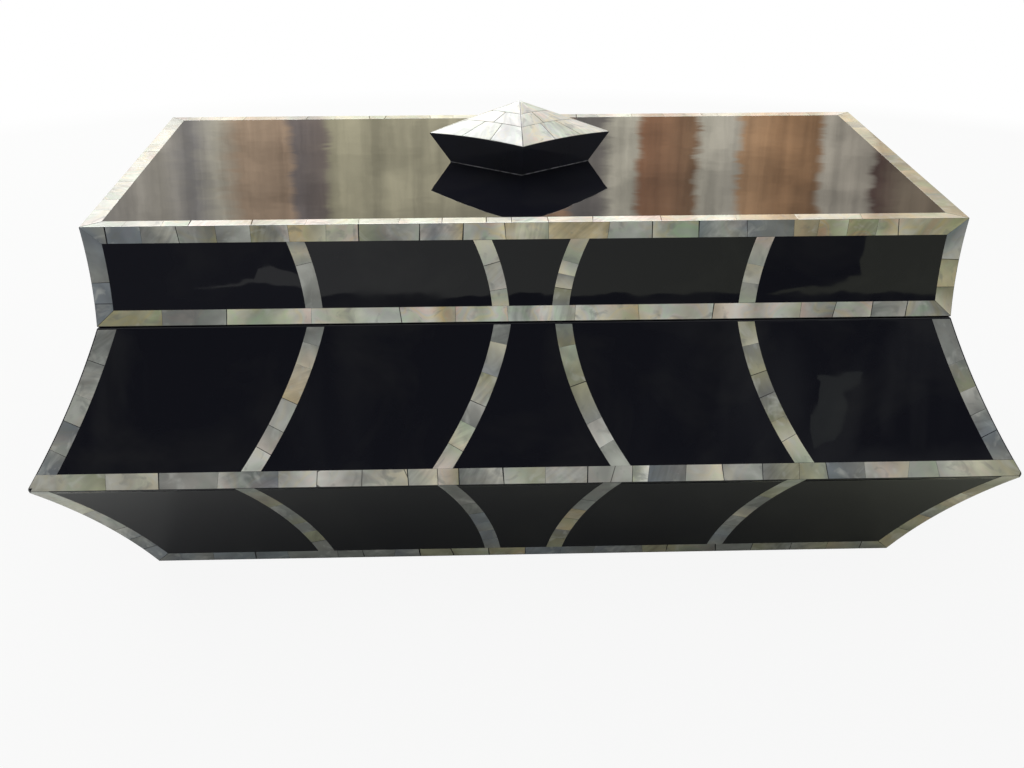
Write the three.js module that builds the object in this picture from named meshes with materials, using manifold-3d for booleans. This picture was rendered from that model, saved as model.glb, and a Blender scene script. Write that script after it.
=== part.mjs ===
// A lacquered keepsake box with shell inlay, its hinged lid, its hinges, its linings and its knob.
// Millimetres, +Z up, the front faces -Y. The origin is the middle of the underside.

import * as THREE from 'three';
import { mergeVertices } from 'three/addons/utils/BufferGeometryUtils.js';
import Module from 'manifold-3d';

const wasm = await Module();
wasm.setup();

// Overall form. Outsets are measured outwards from the outline of the lid's top face.
const lidLength = 320;
const lidDepth = 170;
const splitHeight = 106.4;
const lidHeight = 39.2;
const widestHeight = 52.6;
const waistInset = 1.3;
const flareOutset = 24.8;
const footInset = 10.8;
const lidHollow = 0.7;
const flareHollow = 1.6;
const footHollow = 1.9;
const tipRadius = 2.5;

// Walls, boards and the fits between them.
const rimWidth = 12;
const lidBoard = 9;
const floorBoard = 12;
const feltThickness = 0.6;
const feltInset = 2;
const lidSeam = 0.4;
const glueGap = 0.3;
const overrun = 4;

// Linings: velvet over card.
const liningThickness = 2.5;
const liningSetdown = 4;

// Shell inlay.
const stripWidth = 6.4;
const footStripWidth = 5.3;
const bandWidth = 6;
const ribWidth = 6.2;
const shellThickness = 1.2;
const edgeLine = 0.6;
const rimLip = 0.8;

// Rib centre lines, measured from the middle of their wall: at the waist, where they meet the
// strip under the lid's top, where they meet the band on the widest edge, and at the foot.
const innerRib = { waist: 11.2, top: 17.7, tip: 32, foot: 12.3 };
const outerRib = { waist: 79.9, top: 85.1, tip: 102.7, foot: 79.2 };
const endRib = { waist: 28, top: 35, tip: 48.5, foot: 29.4 };
const leanShares = { lid: 0, flare: 0.35, foot: 0.5 };

// Knob: half diagonals of its foot and rim, and heights above the lid.
const knobRimHalf = 37.3;
const knobFootHalfAlong = 28.5;
const knobFootHalfAcross = 22;
const knobSideRimHeight = 12.2;
const knobFrontRimHeight = 15.4;
const knobHeight = 25.3;
const facetSeam = 0.4;

// Knob fixing.
const knobScrewRadius = 2;
const knobScrewHeadRadius = 3.8;
const knobScrewHeadHeight = 2.4;
const washerRadius = 6;
const washerThickness = 1;
const insertRadius = 3.6;
const insertLength = 10;
const boreGap = 0.3;

// Stop hinges.
const openAngle = 95;
const stopClearanceAngle = 0.6;
const hingeLength = 32;
const hingePlace = 46;
const leafThickness = 3;
const leafReach = 9.5;
const barrelRadius = 2.2;
const pinRadius = 1;
const runningGap = 0.3;
const hingeScrewSpacing = 20;
const hingeScrewInset = 5;
const hingeScrewRadius = 1.1;
const hingeScrewHeadRadius = 2.1;
const hingeScrewHeadDepth = 1.1;
const hingeScrewLength = 10;

// Counts of facets.
const lidFacets = 3;
const flareFacets = 7;
const footFacets = 7;
const tipFacets = 3;
const knobEdgeFacets = 4;
const roundFacets = 16;
const screwFacets = 10;
const baseKnuckles = 3;
const lidKnuckles = 2;

// Sizes worked out from the ones above.
const boxHeight = splitHeight + lidHeight;
const halfLength = lidLength / 2;
const halfDepth = lidDepth / 2;
const wellInset = waistInset + rimWidth;
const lidFoot = splitHeight + lidSeam;
const arrisLine = glueGap / 2;
const boardUnderside = boxHeight - lidBoard;
const floorTop = feltThickness + floorBoard;
const barrelGap = barrelRadius + runningGap;
const axisOut = halfDepth - waistInset + barrelGap;
const axisHeight = splitHeight + lidSeam / 2;

const materials = {
  lacquer: new THREE.MeshStandardMaterial({ color: 0x0d0e12, roughness: 0.05, metalness: 0 }),
  shell: new THREE.MeshStandardMaterial({ color: 0xb9b8a8, roughness: 0.18, metalness: 0 }),
  velvet: new THREE.MeshStandardMaterial({ color: 0x16161a, roughness: 0.95, metalness: 0 }),
  felt: new THREE.MeshStandardMaterial({ color: 0x101012, roughness: 1, metalness: 0 }),
  brass: new THREE.MeshStandardMaterial({ color: 0xb08d4a, roughness: 0.3, metalness: 1 }),
  steel: new THREE.MeshStandardMaterial({ color: 0x9a9a9c, roughness: 0.35, metalness: 1 }),
};

const point = (x, y) => new THREE.Vector2(x, y);

// A closed geometry as a solid that can be joined and cut.
function solid(geometry) {
  const bare = geometry.clone();
  bare.deleteAttribute('normal');
  bare.deleteAttribute('uv');
  const merged = mergeVertices(bare);
  return new wasm.Manifold(new wasm.Mesh({
    numProp: 3,
    vertProperties: new Float32Array(merged.attributes.position.array),
    triVerts: new Uint32Array(merged.index.array),
  }));
}

// A solid as a geometry again.
function geometryOf(body) {
  const mesh = body.getMesh();
  const geometry = new THREE.BufferGeometry();
  geometry.setAttribute('position', new THREE.BufferAttribute(mesh.vertProperties, 3));
  geometry.setIndex(new THREE.BufferAttribute(mesh.triVerts, 1));
  return geometry.toNonIndexed();
}

function piece(name, material, body) {
  const geometry = geometryOf(body);
  geometry.computeVertexNormals();
  const mesh = new THREE.Mesh(geometry, material);
  mesh.name = name;
  return mesh;
}

// The four sides. Each is drawn as if it were the front and then turned to its place, so that
// x runs along the wall, -y points outwards and z is up.
const sides = [
  { name: 'front', turn: 0, along: halfLength, across: halfDepth, ribs: [innerRib, outerRib] },
  { name: 'right', turn: Math.PI / 2, along: halfDepth, across: halfLength, ribs: [endRib] },
  { name: 'back', turn: Math.PI, along: halfLength, across: halfDepth, ribs: [innerRib, outerRib] },
  { name: 'left', turn: -Math.PI / 2, along: halfDepth, across: halfLength, ribs: [endRib] },
];

// A section drawn outwards and up, run along the wall between ends that may follow its depth.
function run(outline, endAt) {
  const geometry = new THREE.ExtrudeGeometry(new THREE.Shape(outline), { depth: 1, bevelEnabled: false });
  const places = geometry.attributes.position;
  for (let i = 0; i < places.count; i++) {
    const out = places.getX(i);
    const end = places.getZ(i) > 0 ? -1 : 1;
    places.setXYZ(i, end * endAt(out), -out, places.getY(i));
  }
  return solid(geometry);
}

// A run whose ends are mitred to meet the neighbouring walls, less a gap along the wall.
function mitredRun(outline, side, gap) {
  const section = outline.map((p) => point(side.across + p.x, p.y));
  return run(section, (out) => out + side.along - side.across - gap);
}

// A shape drawn on the wall's face, pushed right through the wall from front to back.
function throughWall(outline, side) {
  const depth = side.across + flareOutset + overrun;
  const geometry = new THREE.ExtrudeGeometry(new THREE.Shape(outline), { depth, bevelEnabled: false });
  return solid(geometry.rotateX(Math.PI / 2));
}

// A box between two corners.
function block(low, high) {
  const size = high.clone().sub(low);
  const middle = high.clone().add(low).divideScalar(2);
  return solid(new THREE.BoxGeometry(size.x, size.y, size.z).translate(middle.x, middle.y, middle.z));
}

// The plan of the widest edge with its four corners rounded, as a full-height solid.
function roundedPlan() {
  const x = halfLength + flareOutset;
  const y = halfDepth + flareOutset;
  const plan = new THREE.Shape();
  plan.absarc(x - tipRadius, y - tipRadius, tipRadius, 0, Math.PI / 2);
  plan.absarc(tipRadius - x, y - tipRadius, tipRadius, Math.PI / 2, Math.PI);
  plan.absarc(tipRadius - x, tipRadius - y, tipRadius, Math.PI, 3 * Math.PI / 2);
  plan.absarc(x - tipRadius, tipRadius - y, tipRadius, 3 * Math.PI / 2, 2 * Math.PI);
  const options = { depth: boxHeight + overrun, curveSegments: tipFacets, bevelEnabled: false };
  return solid(new THREE.ExtrudeGeometry(plan, options));
}

// A hollow curve in a wall's section, from its lower end to its upper one. Its middle lies
// inside the straight line between them by the hollow's depth.
function hollowCurve(from, to, hollow, facets) {
  const chord = to.clone().sub(from);
  const inwards = point(-chord.y, chord.x).setLength(2 * hollow);
  const middle = from.clone().add(to).divideScalar(2).add(inwards);
  return new THREE.QuadraticBezierCurve(from, middle, to).getPoints(facets);
}

const lidCurve = hollowCurve(point(-waistInset, lidFoot), point(0, boxHeight), lidHollow, lidFacets);
const flareCurve = hollowCurve(
  point(flareOutset, widestHeight), point(-waistInset, splitHeight), flareHollow, flareFacets);
const footCurve = hollowCurve(
  point(-footInset, feltThickness), point(flareOutset, widestHeight), footHollow, footFacets);

// The curve's outset at a height, on its facets.
function outsetAt(curve, height) {
  let i = 1;
  while (i < curve.length - 1 && curve[i].y < height) i++;
  const share = (height - curve[i - 1].y) / (curve[i].y - curve[i - 1].y);
  return curve[i - 1].x + share * (curve[i].x - curve[i - 1].x);
}

// The height of the point that lies a distance up the curve from its lower end.
function heightAlong(curve, distance) {
  let left = distance;
  for (let i = 1; i < curve.length; i++) {
    const step = curve[i].distanceTo(curve[i - 1]);
    if (left <= step || i === curve.length - 1) {
      return curve[i - 1].y + (curve[i].y - curve[i - 1].y) * left / step;
    }
    left -= step;
  }
  return curve[0].y;
}

const fromTop = (curve, distance) => heightAlong(curve, lengthOf(curve) - distance);

function lengthOf(curve) {
  return curve.slice(1).reduce((sum, p, i) => sum + p.distanceTo(curve[i]), 0);
}

// The part of a curve between two heights, with a point at each of them.
function trimmed(curve, low, high) {
  const inside = curve.filter((p) => p.y > low && p.y < high);
  return [point(outsetAt(curve, low), low), ...inside, point(outsetAt(curve, high), high)];
}

// A curve moved outwards, square to itself.
function offset(curve, distance) {
  return curve.map((p, i) => {
    const before = curve[Math.max(i - 1, 0)];
    const after = curve[Math.min(i + 1, curve.length - 1)];
    const outwards = point(after.y - before.y, before.x - after.x).normalize();
    return p.clone().addScaledVector(outwards, distance);
  });
}

// How far a mitred end leans back from an edge for each unit of its depth, from the directions
// in which the two faces leave that edge.
function mitreLean(a, b) {
  const cosine = a.clone().normalize().dot(b.clone().normalize());
  return Math.sqrt((1 + cosine) / (1 - cosine));
}

const topLean = mitreLean(lidCurve.at(-2).clone().sub(lidCurve.at(-1)), point(-1, 0));
const widestLean = mitreLean(
  flareCurve[1].clone().sub(flareCurve[0]), footCurve.at(-2).clone().sub(footCurve.at(-1)));

// The three inlaid sections of a wall. Ribs run from near, at the waist or the foot, to far.
// The shell starts and ends at a line from the curve's ends: square, or mitred on an arris.
// Sill and head bound the lacquer fields between its strips.
const sections = {
  lid: {
    curve: lidCurve,
    start: { line: edgeLine, lean: 0, onArris: false },
    end: { line: arrisLine, lean: topLean, onArris: true },
    sill: heightAlong(lidCurve, edgeLine + stripWidth),
    head: fromTop(lidCurve, arrisLine + stripWidth),
    near: lidFoot,
    far: fromTop(lidCurve, arrisLine + stripWidth),
    ends: ['waist', 'top'],
    leanShare: leanShares.lid,
  },
  flare: {
    curve: flareCurve,
    start: { line: arrisLine, lean: widestLean, onArris: true },
    end: { line: rimLip, lean: 0, onArris: false },
    sill: heightAlong(flareCurve, arrisLine + bandWidth),
    head: null,
    near: splitHeight,
    far: heightAlong(flareCurve, arrisLine + bandWidth),
    ends: ['waist', 'tip'],
    leanShare: leanShares.flare,
  },
  foot: {
    curve: footCurve,
    start: { line: edgeLine, lean: 0, onArris: false },
    end: { line: arrisLine, lean: widestLean, onArris: true },
    sill: heightAlong(footCurve, edgeLine + footStripWidth),
    head: null,
    near: heightAlong(footCurve, edgeLine + footStripWidth),
    far: widestHeight,
    ends: ['foot', 'tip'],
    leanShare: leanShares.foot,
  },
};

// Where a rib's centre line lies at a height: it starts nearly upright and leans outwards.
function ribPlace(section, rib, height) {
  const t = (height - section.near) / (section.far - section.near);
  const [from, to] = section.ends.map((end) => rib[end]);
  return from + (to - from) * (section.leanShare * t + (1 - section.leanShare) * t * t);
}

// How much wider a leaning strip measures along the wall than across itself, at each level.
function slants(places, levels, section) {
  const spots = levels.map((height, i) => point(outsetAt(section.curve, height), height));
  return places.map((place, i) => {
    const a = Math.max(i - 1, 0);
    const b = Math.min(i + 1, places.length - 1);
    return Math.hypot(1, (places[b] - places[a]) / spots[b].distanceTo(spots[a]));
  });
}

// The strips that stand on a section: the two at the mitres and the ribs, from left to right,
// each as the places of its left and right edges at every level.
function uprights(section, side, levels) {
  const corner = levels.map((height) => side.along + outsetAt(section.curve, height));
  const cornerSlants = slants(corner, levels, section);
  const inner = corner.map((place, i) => place - (arrisLine + stripWidth) * cornerSlants[i]);
  const strips = side.ribs.map((rib) => {
    const centre = levels.map((height) => ribPlace(section, rib, height));
    const halves = slants(centre, levels, section).map((slant) => slant * ribWidth / 2);
    return [centre.map((x, i) => x - halves[i]), centre.map((x, i) => x + halves[i])];
  });
  const right = [...strips.sort((a, b) => a[0][0] - b[0][0]), [inner, corner]];
  const mirrored = right.map(([from, to]) => [to.map((x) => -x), from.map((x) => -x)]).reverse();
  return [...mirrored, ...right];
}

// The lacquer fields between the uprights, pushed through the wall. They are smaller by grow.
function fields(section, side, grow) {
  const low = section.sill + grow;
  const high = section.head === null ? section.curve.at(-1).y : section.head - grow;
  const levels = trimmed(section.curve, low, high).map((p) => p.y);
  const strips = uprights(section, side, levels);
  const cutters = [];
  for (let i = 1; i < strips.length; i++) {
    const left = strips[i - 1][1].map((x, k) => point(x + grow, levels[k]));
    const right = strips[i][0].map((x, k) => point(x - grow, levels[k]));
    if (section.head === null) {
      left.push(point(left.at(-1).x, high + overrun));
      right.push(point(right.at(-1).x, high + overrun));
    }
    cutters.push(throughWall([...left, ...right.reverse()], side));
  }
  return wasm.Manifold.union(cutters);
}

// The section of the curve that starts and ends at these distances from its ends.
function between({ curve, start, end }, depth) {
  const low = heightAlong(curve, start.line + start.lean * depth);
  const high = fromTop(curve, end.line + end.lean * depth);
  return trimmed(curve, low, high);
}

// The shell of one section: a thin curved sheet with the fields cut out of it.
function shellOf(section, side) {
  const outline = [
    ...between(section, 0),
    ...offset(between(section, shellThickness), -shellThickness).reverse(),
  ];
  return mitredRun(outline, side, arrisLine).subtract(fields(section, side, 0));
}

// The groove that the shell of a section lies in. It is open at the face, at the mitres and on
// an arris.
function grooveOf(section, side) {
  const { curve, start, end } = section;
  const low = start.onArris ? curve[0].y : heightAlong(curve, start.line - glueGap);
  const high = end.onArris ? curve.at(-1).y : fromTop(curve, end.line - glueGap);
  const sheet = trimmed(curve, low, high);
  if (start.onArris) sheet.unshift(past(sheet[1], sheet[0]));
  if (end.onArris) sheet.push(past(sheet.at(-2), sheet.at(-1)));
  const outline = [
    ...offset(sheet, overrun),
    ...offset(sheet, -shellThickness - glueGap).reverse(),
  ];
  return mitredRun(outline, side, -overrun).subtract(fields(section, side, glueGap));
}

// The point an overrun past the end of a straight step.
function past(from, to) {
  return to.clone().add(to.clone().sub(from).setLength(overrun));
}

// The straight strip on the lid's top face, and its groove.
function topStrip(side) {
  const bottom = boxHeight - shellThickness;
  const inner = -arrisLine - stripWidth;
  return mitredRun([
    point(inner, bottom), point(-arrisLine - topLean * shellThickness, bottom),
    point(-arrisLine, boxHeight), point(inner, boxHeight),
  ], side, arrisLine);
}

function topGroove(side) {
  const bottom = boxHeight - shellThickness - glueGap;
  const inner = -arrisLine - stripWidth - glueGap;
  const top = boxHeight + overrun;
  return mitredRun([
    point(inner, bottom), point(overrun, bottom), point(overrun, top), point(inner, top),
  ], side, -overrun);
}

// Plain boards and linings whose section is a rectangle.
function mitredBoard(side, inner, outer, low, high) {
  return mitredRun([point(inner, low), point(outer, low), point(outer, high), point(inner, high)],
    side, glueGap / 2);
}

function baseWall(side) {
  const outline = [
    ...footCurve, ...flareCurve.slice(1),
    point(-wellInset, splitHeight), point(-wellInset, feltThickness),
  ];
  const body = mitredRun(outline, side, glueGap / 2);
  return body.subtract(grooveOf(sections.flare, side)).subtract(grooveOf(sections.foot, side));
}

function lidWall(side) {
  const outline = [...lidCurve, point(-wellInset, boxHeight), point(-wellInset, lidFoot)];
  const body = mitredRun(outline, side, glueGap / 2);
  return body.subtract(grooveOf(sections.lid, side)).subtract(topGroove(side));
}

// A flat board with square edges, set in from the lid's outline.
function flatBoard(inset, low, high) {
  return block(
    new THREE.Vector3(inset - halfLength, inset - halfDepth, low),
    new THREE.Vector3(halfLength - inset, halfDepth - inset, high));
}

// A round bar from a profile of radius and height, standing on its axis.
function turned(profile, facets) {
  return solid(new THREE.LatheGeometry(profile, facets).rotateX(Math.PI / 2));
}

// A round bar or hole along the hinge's axis.
function axle(radius, length) {
  const bar = new THREE.CylinderGeometry(radius, radius, length, roundFacets).rotateZ(Math.PI / 2);
  return solid(bar.translate(0, -axisOut, axisHeight));
}

function uprightCylinder(radius, low, high) {
  return turned([point(0, low), point(radius, low), point(radius, high), point(0, high)], roundFacets);
}

// Hinges, drawn on the back wall. Up is 1 for the lid's half and -1 for the base's.
const leafFace = { [-1]: splitHeight, [1]: lidFoot };

// A leaf's section: a plate whose outer end is bevelled, so that the two bevels meet when the
// lid is open.
function leafSection(up) {
  const bevel = Math.tan(THREE.MathUtils.degToRad(openAngle / 2 + stopClearanceAngle));
  const near = lidSeam / 2;
  const far = near + leafThickness;
  const inner = axisOut - barrelGap - leafReach;
  return [
    point(inner, leafFace[up]),
    point(axisOut + near / bevel, leafFace[up]),
    point(axisOut + far / bevel, leafFace[up] + up * leafThickness),
    point(inner, leafFace[up] + up * leafThickness),
  ];
}

// The knuckles of one half, or with grow the room that they turn in.
function knuckles(up, radius, grow) {
  const count = baseKnuckles + lidKnuckles;
  const pitch = hingeLength / count;
  const bars = [];
  for (let i = up > 0 ? 1 : 0; i < count; i += 2) {
    const length = pitch - runningGap + 2 * grow;
    bars.push(axle(radius, length).translate((i - (count - 1) / 2) * pitch, 0, 0));
  }
  return wasm.Manifold.union(bars);
}

const screwPlaces = [-hingeScrewSpacing / 2, hingeScrewSpacing / 2];
const screwOut = axisOut - barrelGap - hingeScrewInset;

// A countersunk screw seen from its head, which is flush with the leaf, or its hole with grow.
function hingeScrew(up, place, grow) {
  const head = hingeScrewHeadRadius + grow;
  const shank = hingeScrewRadius + grow;
  const top = grow > 0 ? overrun : 0;
  const body = turned([
    point(0, -hingeScrewLength - grow),
    point(shank, -hingeScrewLength + hingeScrewRadius),
    point(shank, -hingeScrewHeadDepth),
    point(head, 0),
    ...(grow > 0 ? [point(head, top)] : []),
    point(0, top),
  ], screwFacets);
  const standing = up > 0 ? body.rotate([180, 0, 0]) : body;
  return standing.translate(place, -screwOut, leafFace[up]);
}

function hingeLeaf(up) {
  let leaf = run(leafSection(up), () => hingeLength / 2);
  leaf = leaf.subtract(knuckles(-up, barrelGap, runningGap));
  leaf = leaf.add(knuckles(up, barrelRadius, 0));
  leaf = leaf.subtract(axle(pinRadius + runningGap, hingeLength + overrun));
  for (const place of screwPlaces) {
    leaf = leaf.subtract(hingeScrew(up, place, glueGap));
  }
  return leaf;
}

// The pocket cut for a leaf in the edge of the back wall, with its pilot holes.
function hingePocket(up) {
  const back = axisOut + barrelRadius + overrun;
  const inner = axisOut - barrelGap - leafReach - glueGap;
  const floor = leafFace[up] + up * (leafThickness + glueGap);
  const open = leafFace[up] - up * overrun;
  const outline = [point(inner, open), point(back, open), point(back, floor), point(inner, floor)];
  let pocket = run(outline, () => hingeLength / 2 + glueGap);
  for (const place of screwPlaces) {
    pocket = pocket.add(hingeScrew(up, place, glueGap));
  }
  return pocket;
}

const hinges = [{ name: 'left', place: hingePlace }, { name: 'right', place: -hingePlace }];

function hingePockets(up) {
  return wasm.Manifold.union(hinges.map(({ place }) => hingePocket(up).translate(place, 0, 0)));
}

// Knob: a diamond foot, a wider diamond rim that dips at its left and right corners, and a
// pyramid on top.
function knobSolid() {
  const corners = [point(1, 0), point(0, 1), point(-1, 0), point(0, -1)];
  const ring = [];
  corners.forEach((corner, i) => {
    for (let k = 0; k < knobEdgeFacets; k++) {
      ring.push(corner.clone().lerp(corners[(i + 1) % corners.length], k / knobEdgeFacets));
    }
  });
  const dip = knobFrontRimHeight - knobSideRimHeight;
  const places = [
    ...ring.map((p) => [p.x * knobFootHalfAlong, p.y * knobFootHalfAcross, 0]),
    ...ring.map((p) => [p.x * knobRimHalf, p.y * knobRimHalf, knobFrontRimHeight - dip * p.x * p.x]),
    [0, 0, 0],
    [0, 0, knobHeight],
  ];
  const count = ring.length;
  const faces = [];
  for (let i = 0; i < count; i++) {
    const next = (i + 1) % count;
    faces.push([2 * count, next, i]);
    faces.push([i, next, count + next], [i, count + next, count + i]);
    faces.push([count + i, count + next, 2 * count + 1]);
  }
  const geometry = new THREE.BufferGeometry();
  geometry.setAttribute('position', new THREE.Float32BufferAttribute(places.flat(), 3));
  geometry.setIndex(faces.flat());
  return solid(geometry);
}

// One quarter of the space round the knob's axis, less half a seam on each side.
function quarter(x, y) {
  const reach = knobRimHalf + overrun;
  const seam = facetSeam / 2;
  const xs = [x * seam, x * reach].sort((a, b) => a - b);
  const ys = [y * seam, y * reach].sort((a, b) => a - b);
  return block(new THREE.Vector3(xs[0], ys[0], -overrun),
    new THREE.Vector3(xs[1], ys[1], knobHeight + overrun));
}

function knobPieces() {
  const whole = knobSolid();
  const shellDrop = shellThickness + glueGap;
  const cap = whole.subtract(whole.translate(0, 0, -shellDrop));
  const bore = uprightCylinder(insertRadius + boreGap, -overrun, insertLength + boreGap);
  const seat = uprightCylinder(knobRimHalf, 0, glueGap);
  const core = whole.intersect(whole.translate(0, 0, -shellDrop - glueGap)).subtract(bore).subtract(seat);
  const group = new THREE.Group();
  group.position.z = boxHeight;
  group.add(piece('knob_core', materials.lacquer, core));
  for (const [y, deep] of [[-1, 'front'], [1, 'back']]) {
    for (const [x, wide] of [[-1, 'left'], [1, 'right']]) {
      group.add(piece(`knob_facet_${deep}_${wide}`, materials.shell, cap.intersect(quarter(x, y))));
    }
  }
  group.add(piece('knob_insert', materials.brass, knobInsert()));
  return group;
}

// The threaded brass sleeve in the knob.
function knobInsert() {
  const hole = knobScrewRadius + boreGap;
  return turned([
    point(hole, glueGap), point(insertRadius, glueGap),
    point(insertRadius, insertLength), point(hole, insertLength), point(hole, glueGap),
  ], roundFacets);
}

// The washer and the screw that hold the knob from inside the lid.
const knobSeat = boardUnderside + knobScrewHeadHeight + washerThickness + 2 * glueGap;

function knobWasher() {
  const hole = knobScrewRadius + boreGap;
  const low = knobSeat - glueGap - washerThickness;
  const high = knobSeat - glueGap;
  return turned([
    point(hole, low), point(washerRadius, low), point(washerRadius, high), point(hole, high),
    point(hole, low),
  ], roundFacets);
}

function knobScrew() {
  const under = knobSeat - 2 * glueGap - washerThickness;
  const tip = boxHeight + insertLength - glueGap;
  return turned([
    point(0, under - knobScrewHeadHeight), point(knobScrewHeadRadius, under - knobScrewHeadHeight),
    point(knobScrewHeadRadius, under), point(knobScrewRadius, under),
    point(knobScrewRadius, tip), point(0, tip),
  ], roundFacets);
}

function lidPanel() {
  const board = flatBoard(wellInset + glueGap, boardUnderside, boxHeight);
  const hole = uprightCylinder(knobScrewRadius + boreGap, boardUnderside - overrun, boxHeight + overrun);
  const recess = uprightCylinder(washerRadius + boreGap, boardUnderside - overrun, knobSeat);
  return board.subtract(hole).subtract(recess);
}

// One side of the base and of the lid, with the shell and the linings that it carries.
function sidePieces(side) {
  const group = new THREE.Group();
  group.rotation.z = side.turn;
  const isBack = side.name === 'back';
  const plan = roundedPlan().rotate([0, 0, -THREE.MathUtils.radToDeg(side.turn)]);
  const cutBase = (body) => (isBack ? body.subtract(hingePockets(-1)) : body);
  const cutLid = (body) => (isBack ? body.subtract(hingePockets(1)) : body);

  group.add(piece(`base_wall_${side.name}`, materials.lacquer, cutBase(baseWall(side)).intersect(plan)));
  group.add(piece(`lid_wall_${side.name}`, materials.lacquer, cutLid(lidWall(side))));
  group.add(piece(`shell_foot_${side.name}`, materials.shell,
    shellOf(sections.foot, side).intersect(plan)));
  group.add(piece(`shell_flare_${side.name}`, materials.shell,
    shellOf(sections.flare, side).intersect(plan)));
  group.add(piece(`shell_lid_${side.name}`, materials.shell, cutLid(shellOf(sections.lid, side))));
  group.add(piece(`shell_top_${side.name}`, materials.shell, topStrip(side)));

  const outer = -wellInset - glueGap;
  const inner = outer - liningThickness;
  const baseLining = mitredBoard(side, inner, outer,
    floorTop + liningThickness + glueGap, splitHeight - liningSetdown);
  const lidLining = mitredBoard(side, inner, outer,
    lidFoot + liningSetdown, boardUnderside - liningThickness - glueGap);
  group.add(piece(`base_lining_${side.name}`, materials.velvet, baseLining));
  group.add(piece(`lid_lining_${side.name}`, materials.velvet, lidLining));
  return group;
}

function hingePieces() {
  const group = new THREE.Group();
  group.rotation.z = Math.PI;
  for (const { name, place } of hinges) {
    const hinge = new THREE.Group();
    hinge.position.x = place;
    for (const [up, half] of [[-1, 'base'], [1, 'lid']]) {
      hinge.add(piece(`hinge_${name}_${half}_leaf`, materials.brass, hingeLeaf(up)));
      screwPlaces.forEach((spot, i) => {
        hinge.add(piece(`hinge_${name}_${half}_screw_${i + 1}`, materials.brass, hingeScrew(up, spot, 0)));
      });
    }
    hinge.add(piece(`hinge_${name}_pin`, materials.brass, axle(pinRadius, hingeLength)));
    group.add(hinge);
  }
  return group;
}

function build() {
  const box = new THREE.Group();
  box.name = 'shell_inlaid_box';
  for (const side of sides) box.add(sidePieces(side));
  const lined = wellInset + glueGap;
  box.add(piece('base_felt', materials.felt, flatBoard(footInset + feltInset, 0, feltThickness)));
  box.add(piece('base_floor', materials.lacquer, flatBoard(lined, feltThickness, floorTop)));
  box.add(piece('base_lining_floor', materials.velvet,
    flatBoard(lined, floorTop, floorTop + liningThickness)));
  box.add(piece('lid_panel', materials.lacquer, lidPanel()));
  box.add(piece('lid_lining_top', materials.velvet,
    flatBoard(lined, boardUnderside - liningThickness, boardUnderside)));
  box.add(piece('knob_washer', materials.steel, knobWasher()));
  box.add(piece('knob_screw', materials.steel, knobScrew()));
  box.add(knobPieces());
  box.add(hingePieces());
  return box;
}

export default build();
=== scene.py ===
"""The finished surfaces of a shell-inlaid lacquered box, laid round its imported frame.

Lengths are metres, +Z is up and the front faces -Y. A wall's face is unrolled flat: x runs along the
wall and d runs up the wall's curve from its lower end, so strips are drawn as they are cut.
"""

import bisect
import math
import random

import bmesh
import bpy
from mathutils import Matrix, Vector


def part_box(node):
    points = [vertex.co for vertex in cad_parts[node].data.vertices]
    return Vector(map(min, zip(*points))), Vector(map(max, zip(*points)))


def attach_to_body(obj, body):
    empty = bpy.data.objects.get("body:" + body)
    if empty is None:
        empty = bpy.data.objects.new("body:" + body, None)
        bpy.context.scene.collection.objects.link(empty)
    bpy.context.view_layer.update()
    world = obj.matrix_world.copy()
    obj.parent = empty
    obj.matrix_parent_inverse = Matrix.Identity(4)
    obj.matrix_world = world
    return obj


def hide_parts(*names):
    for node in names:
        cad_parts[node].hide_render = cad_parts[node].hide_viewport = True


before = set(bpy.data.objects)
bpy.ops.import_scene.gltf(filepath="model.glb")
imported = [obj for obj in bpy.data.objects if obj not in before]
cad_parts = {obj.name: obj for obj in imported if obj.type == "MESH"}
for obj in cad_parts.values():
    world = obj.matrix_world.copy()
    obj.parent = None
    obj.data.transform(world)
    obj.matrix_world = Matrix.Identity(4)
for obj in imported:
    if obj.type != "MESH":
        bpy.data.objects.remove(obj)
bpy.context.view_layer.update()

bl_info = {
    "name": "Shell-inlaid lacquered box",
    "version": (1, 0, 0),
    "blender": (4, 5, 0),
    "location": "3D View > Sidebar > Lacquered box",
    "description": "Lays lacquer, shell tiles, knob, linings and studio round the packed frame",
    "category": "Add Mesh",
}

# Counts of facets and steps.
CURVE_STEPS = 48
TIP_STEPS = 8
EASE_STEPS = 6
KNOB_STEPS = 12
BEAD_STEPS = 10
DISC_STEPS = 96
BEVEL_STEPS = 4
METAL_EASE_STEPS = 2
HALVINGS = 40

SHARP_ANGLE = math.radians(32)
TILE_SHARP_ANGLE = math.radians(50)
METAL_EASE_ANGLE = math.radians(40)
WELD_DISTANCE = 1e-7
SOFT_EDGE_SHARE = 0.3
TILE_EDGE_LIMIT = 0.3
FLAT_FACE_WEIGHT = 100

# Shell tones, one letter each: e grey, b blue grey, s silver, w white, c cream, g gold, o olive,
# r rose, n green. A word gives the tones that a tile runs through from one end to the other.
TONES = {
    "e": (0.31, 0.32, 0.30),
    "b": (0.26, 0.29, 0.32),
    "s": (0.56, 0.56, 0.51),
    "w": (0.87, 0.87, 0.80),
    "c": (0.79, 0.74, 0.57),
    "g": (0.62, 0.52, 0.32),
    "o": (0.42, 0.41, 0.27),
    "r": (0.79, 0.69, 0.61),
    "n": (0.52, 0.57, 0.44),
}

# Tones for tiles drawn at random, each as likely as its letter is common.
BORDER_WEIGHTS = "essscccwronb"
UPRIGHT_WEIGHTS = "eesssccon"
TOP_WEIGHTS = {"front": "w", "right": "oogego", "back": "wws", "left": "w"}

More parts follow.
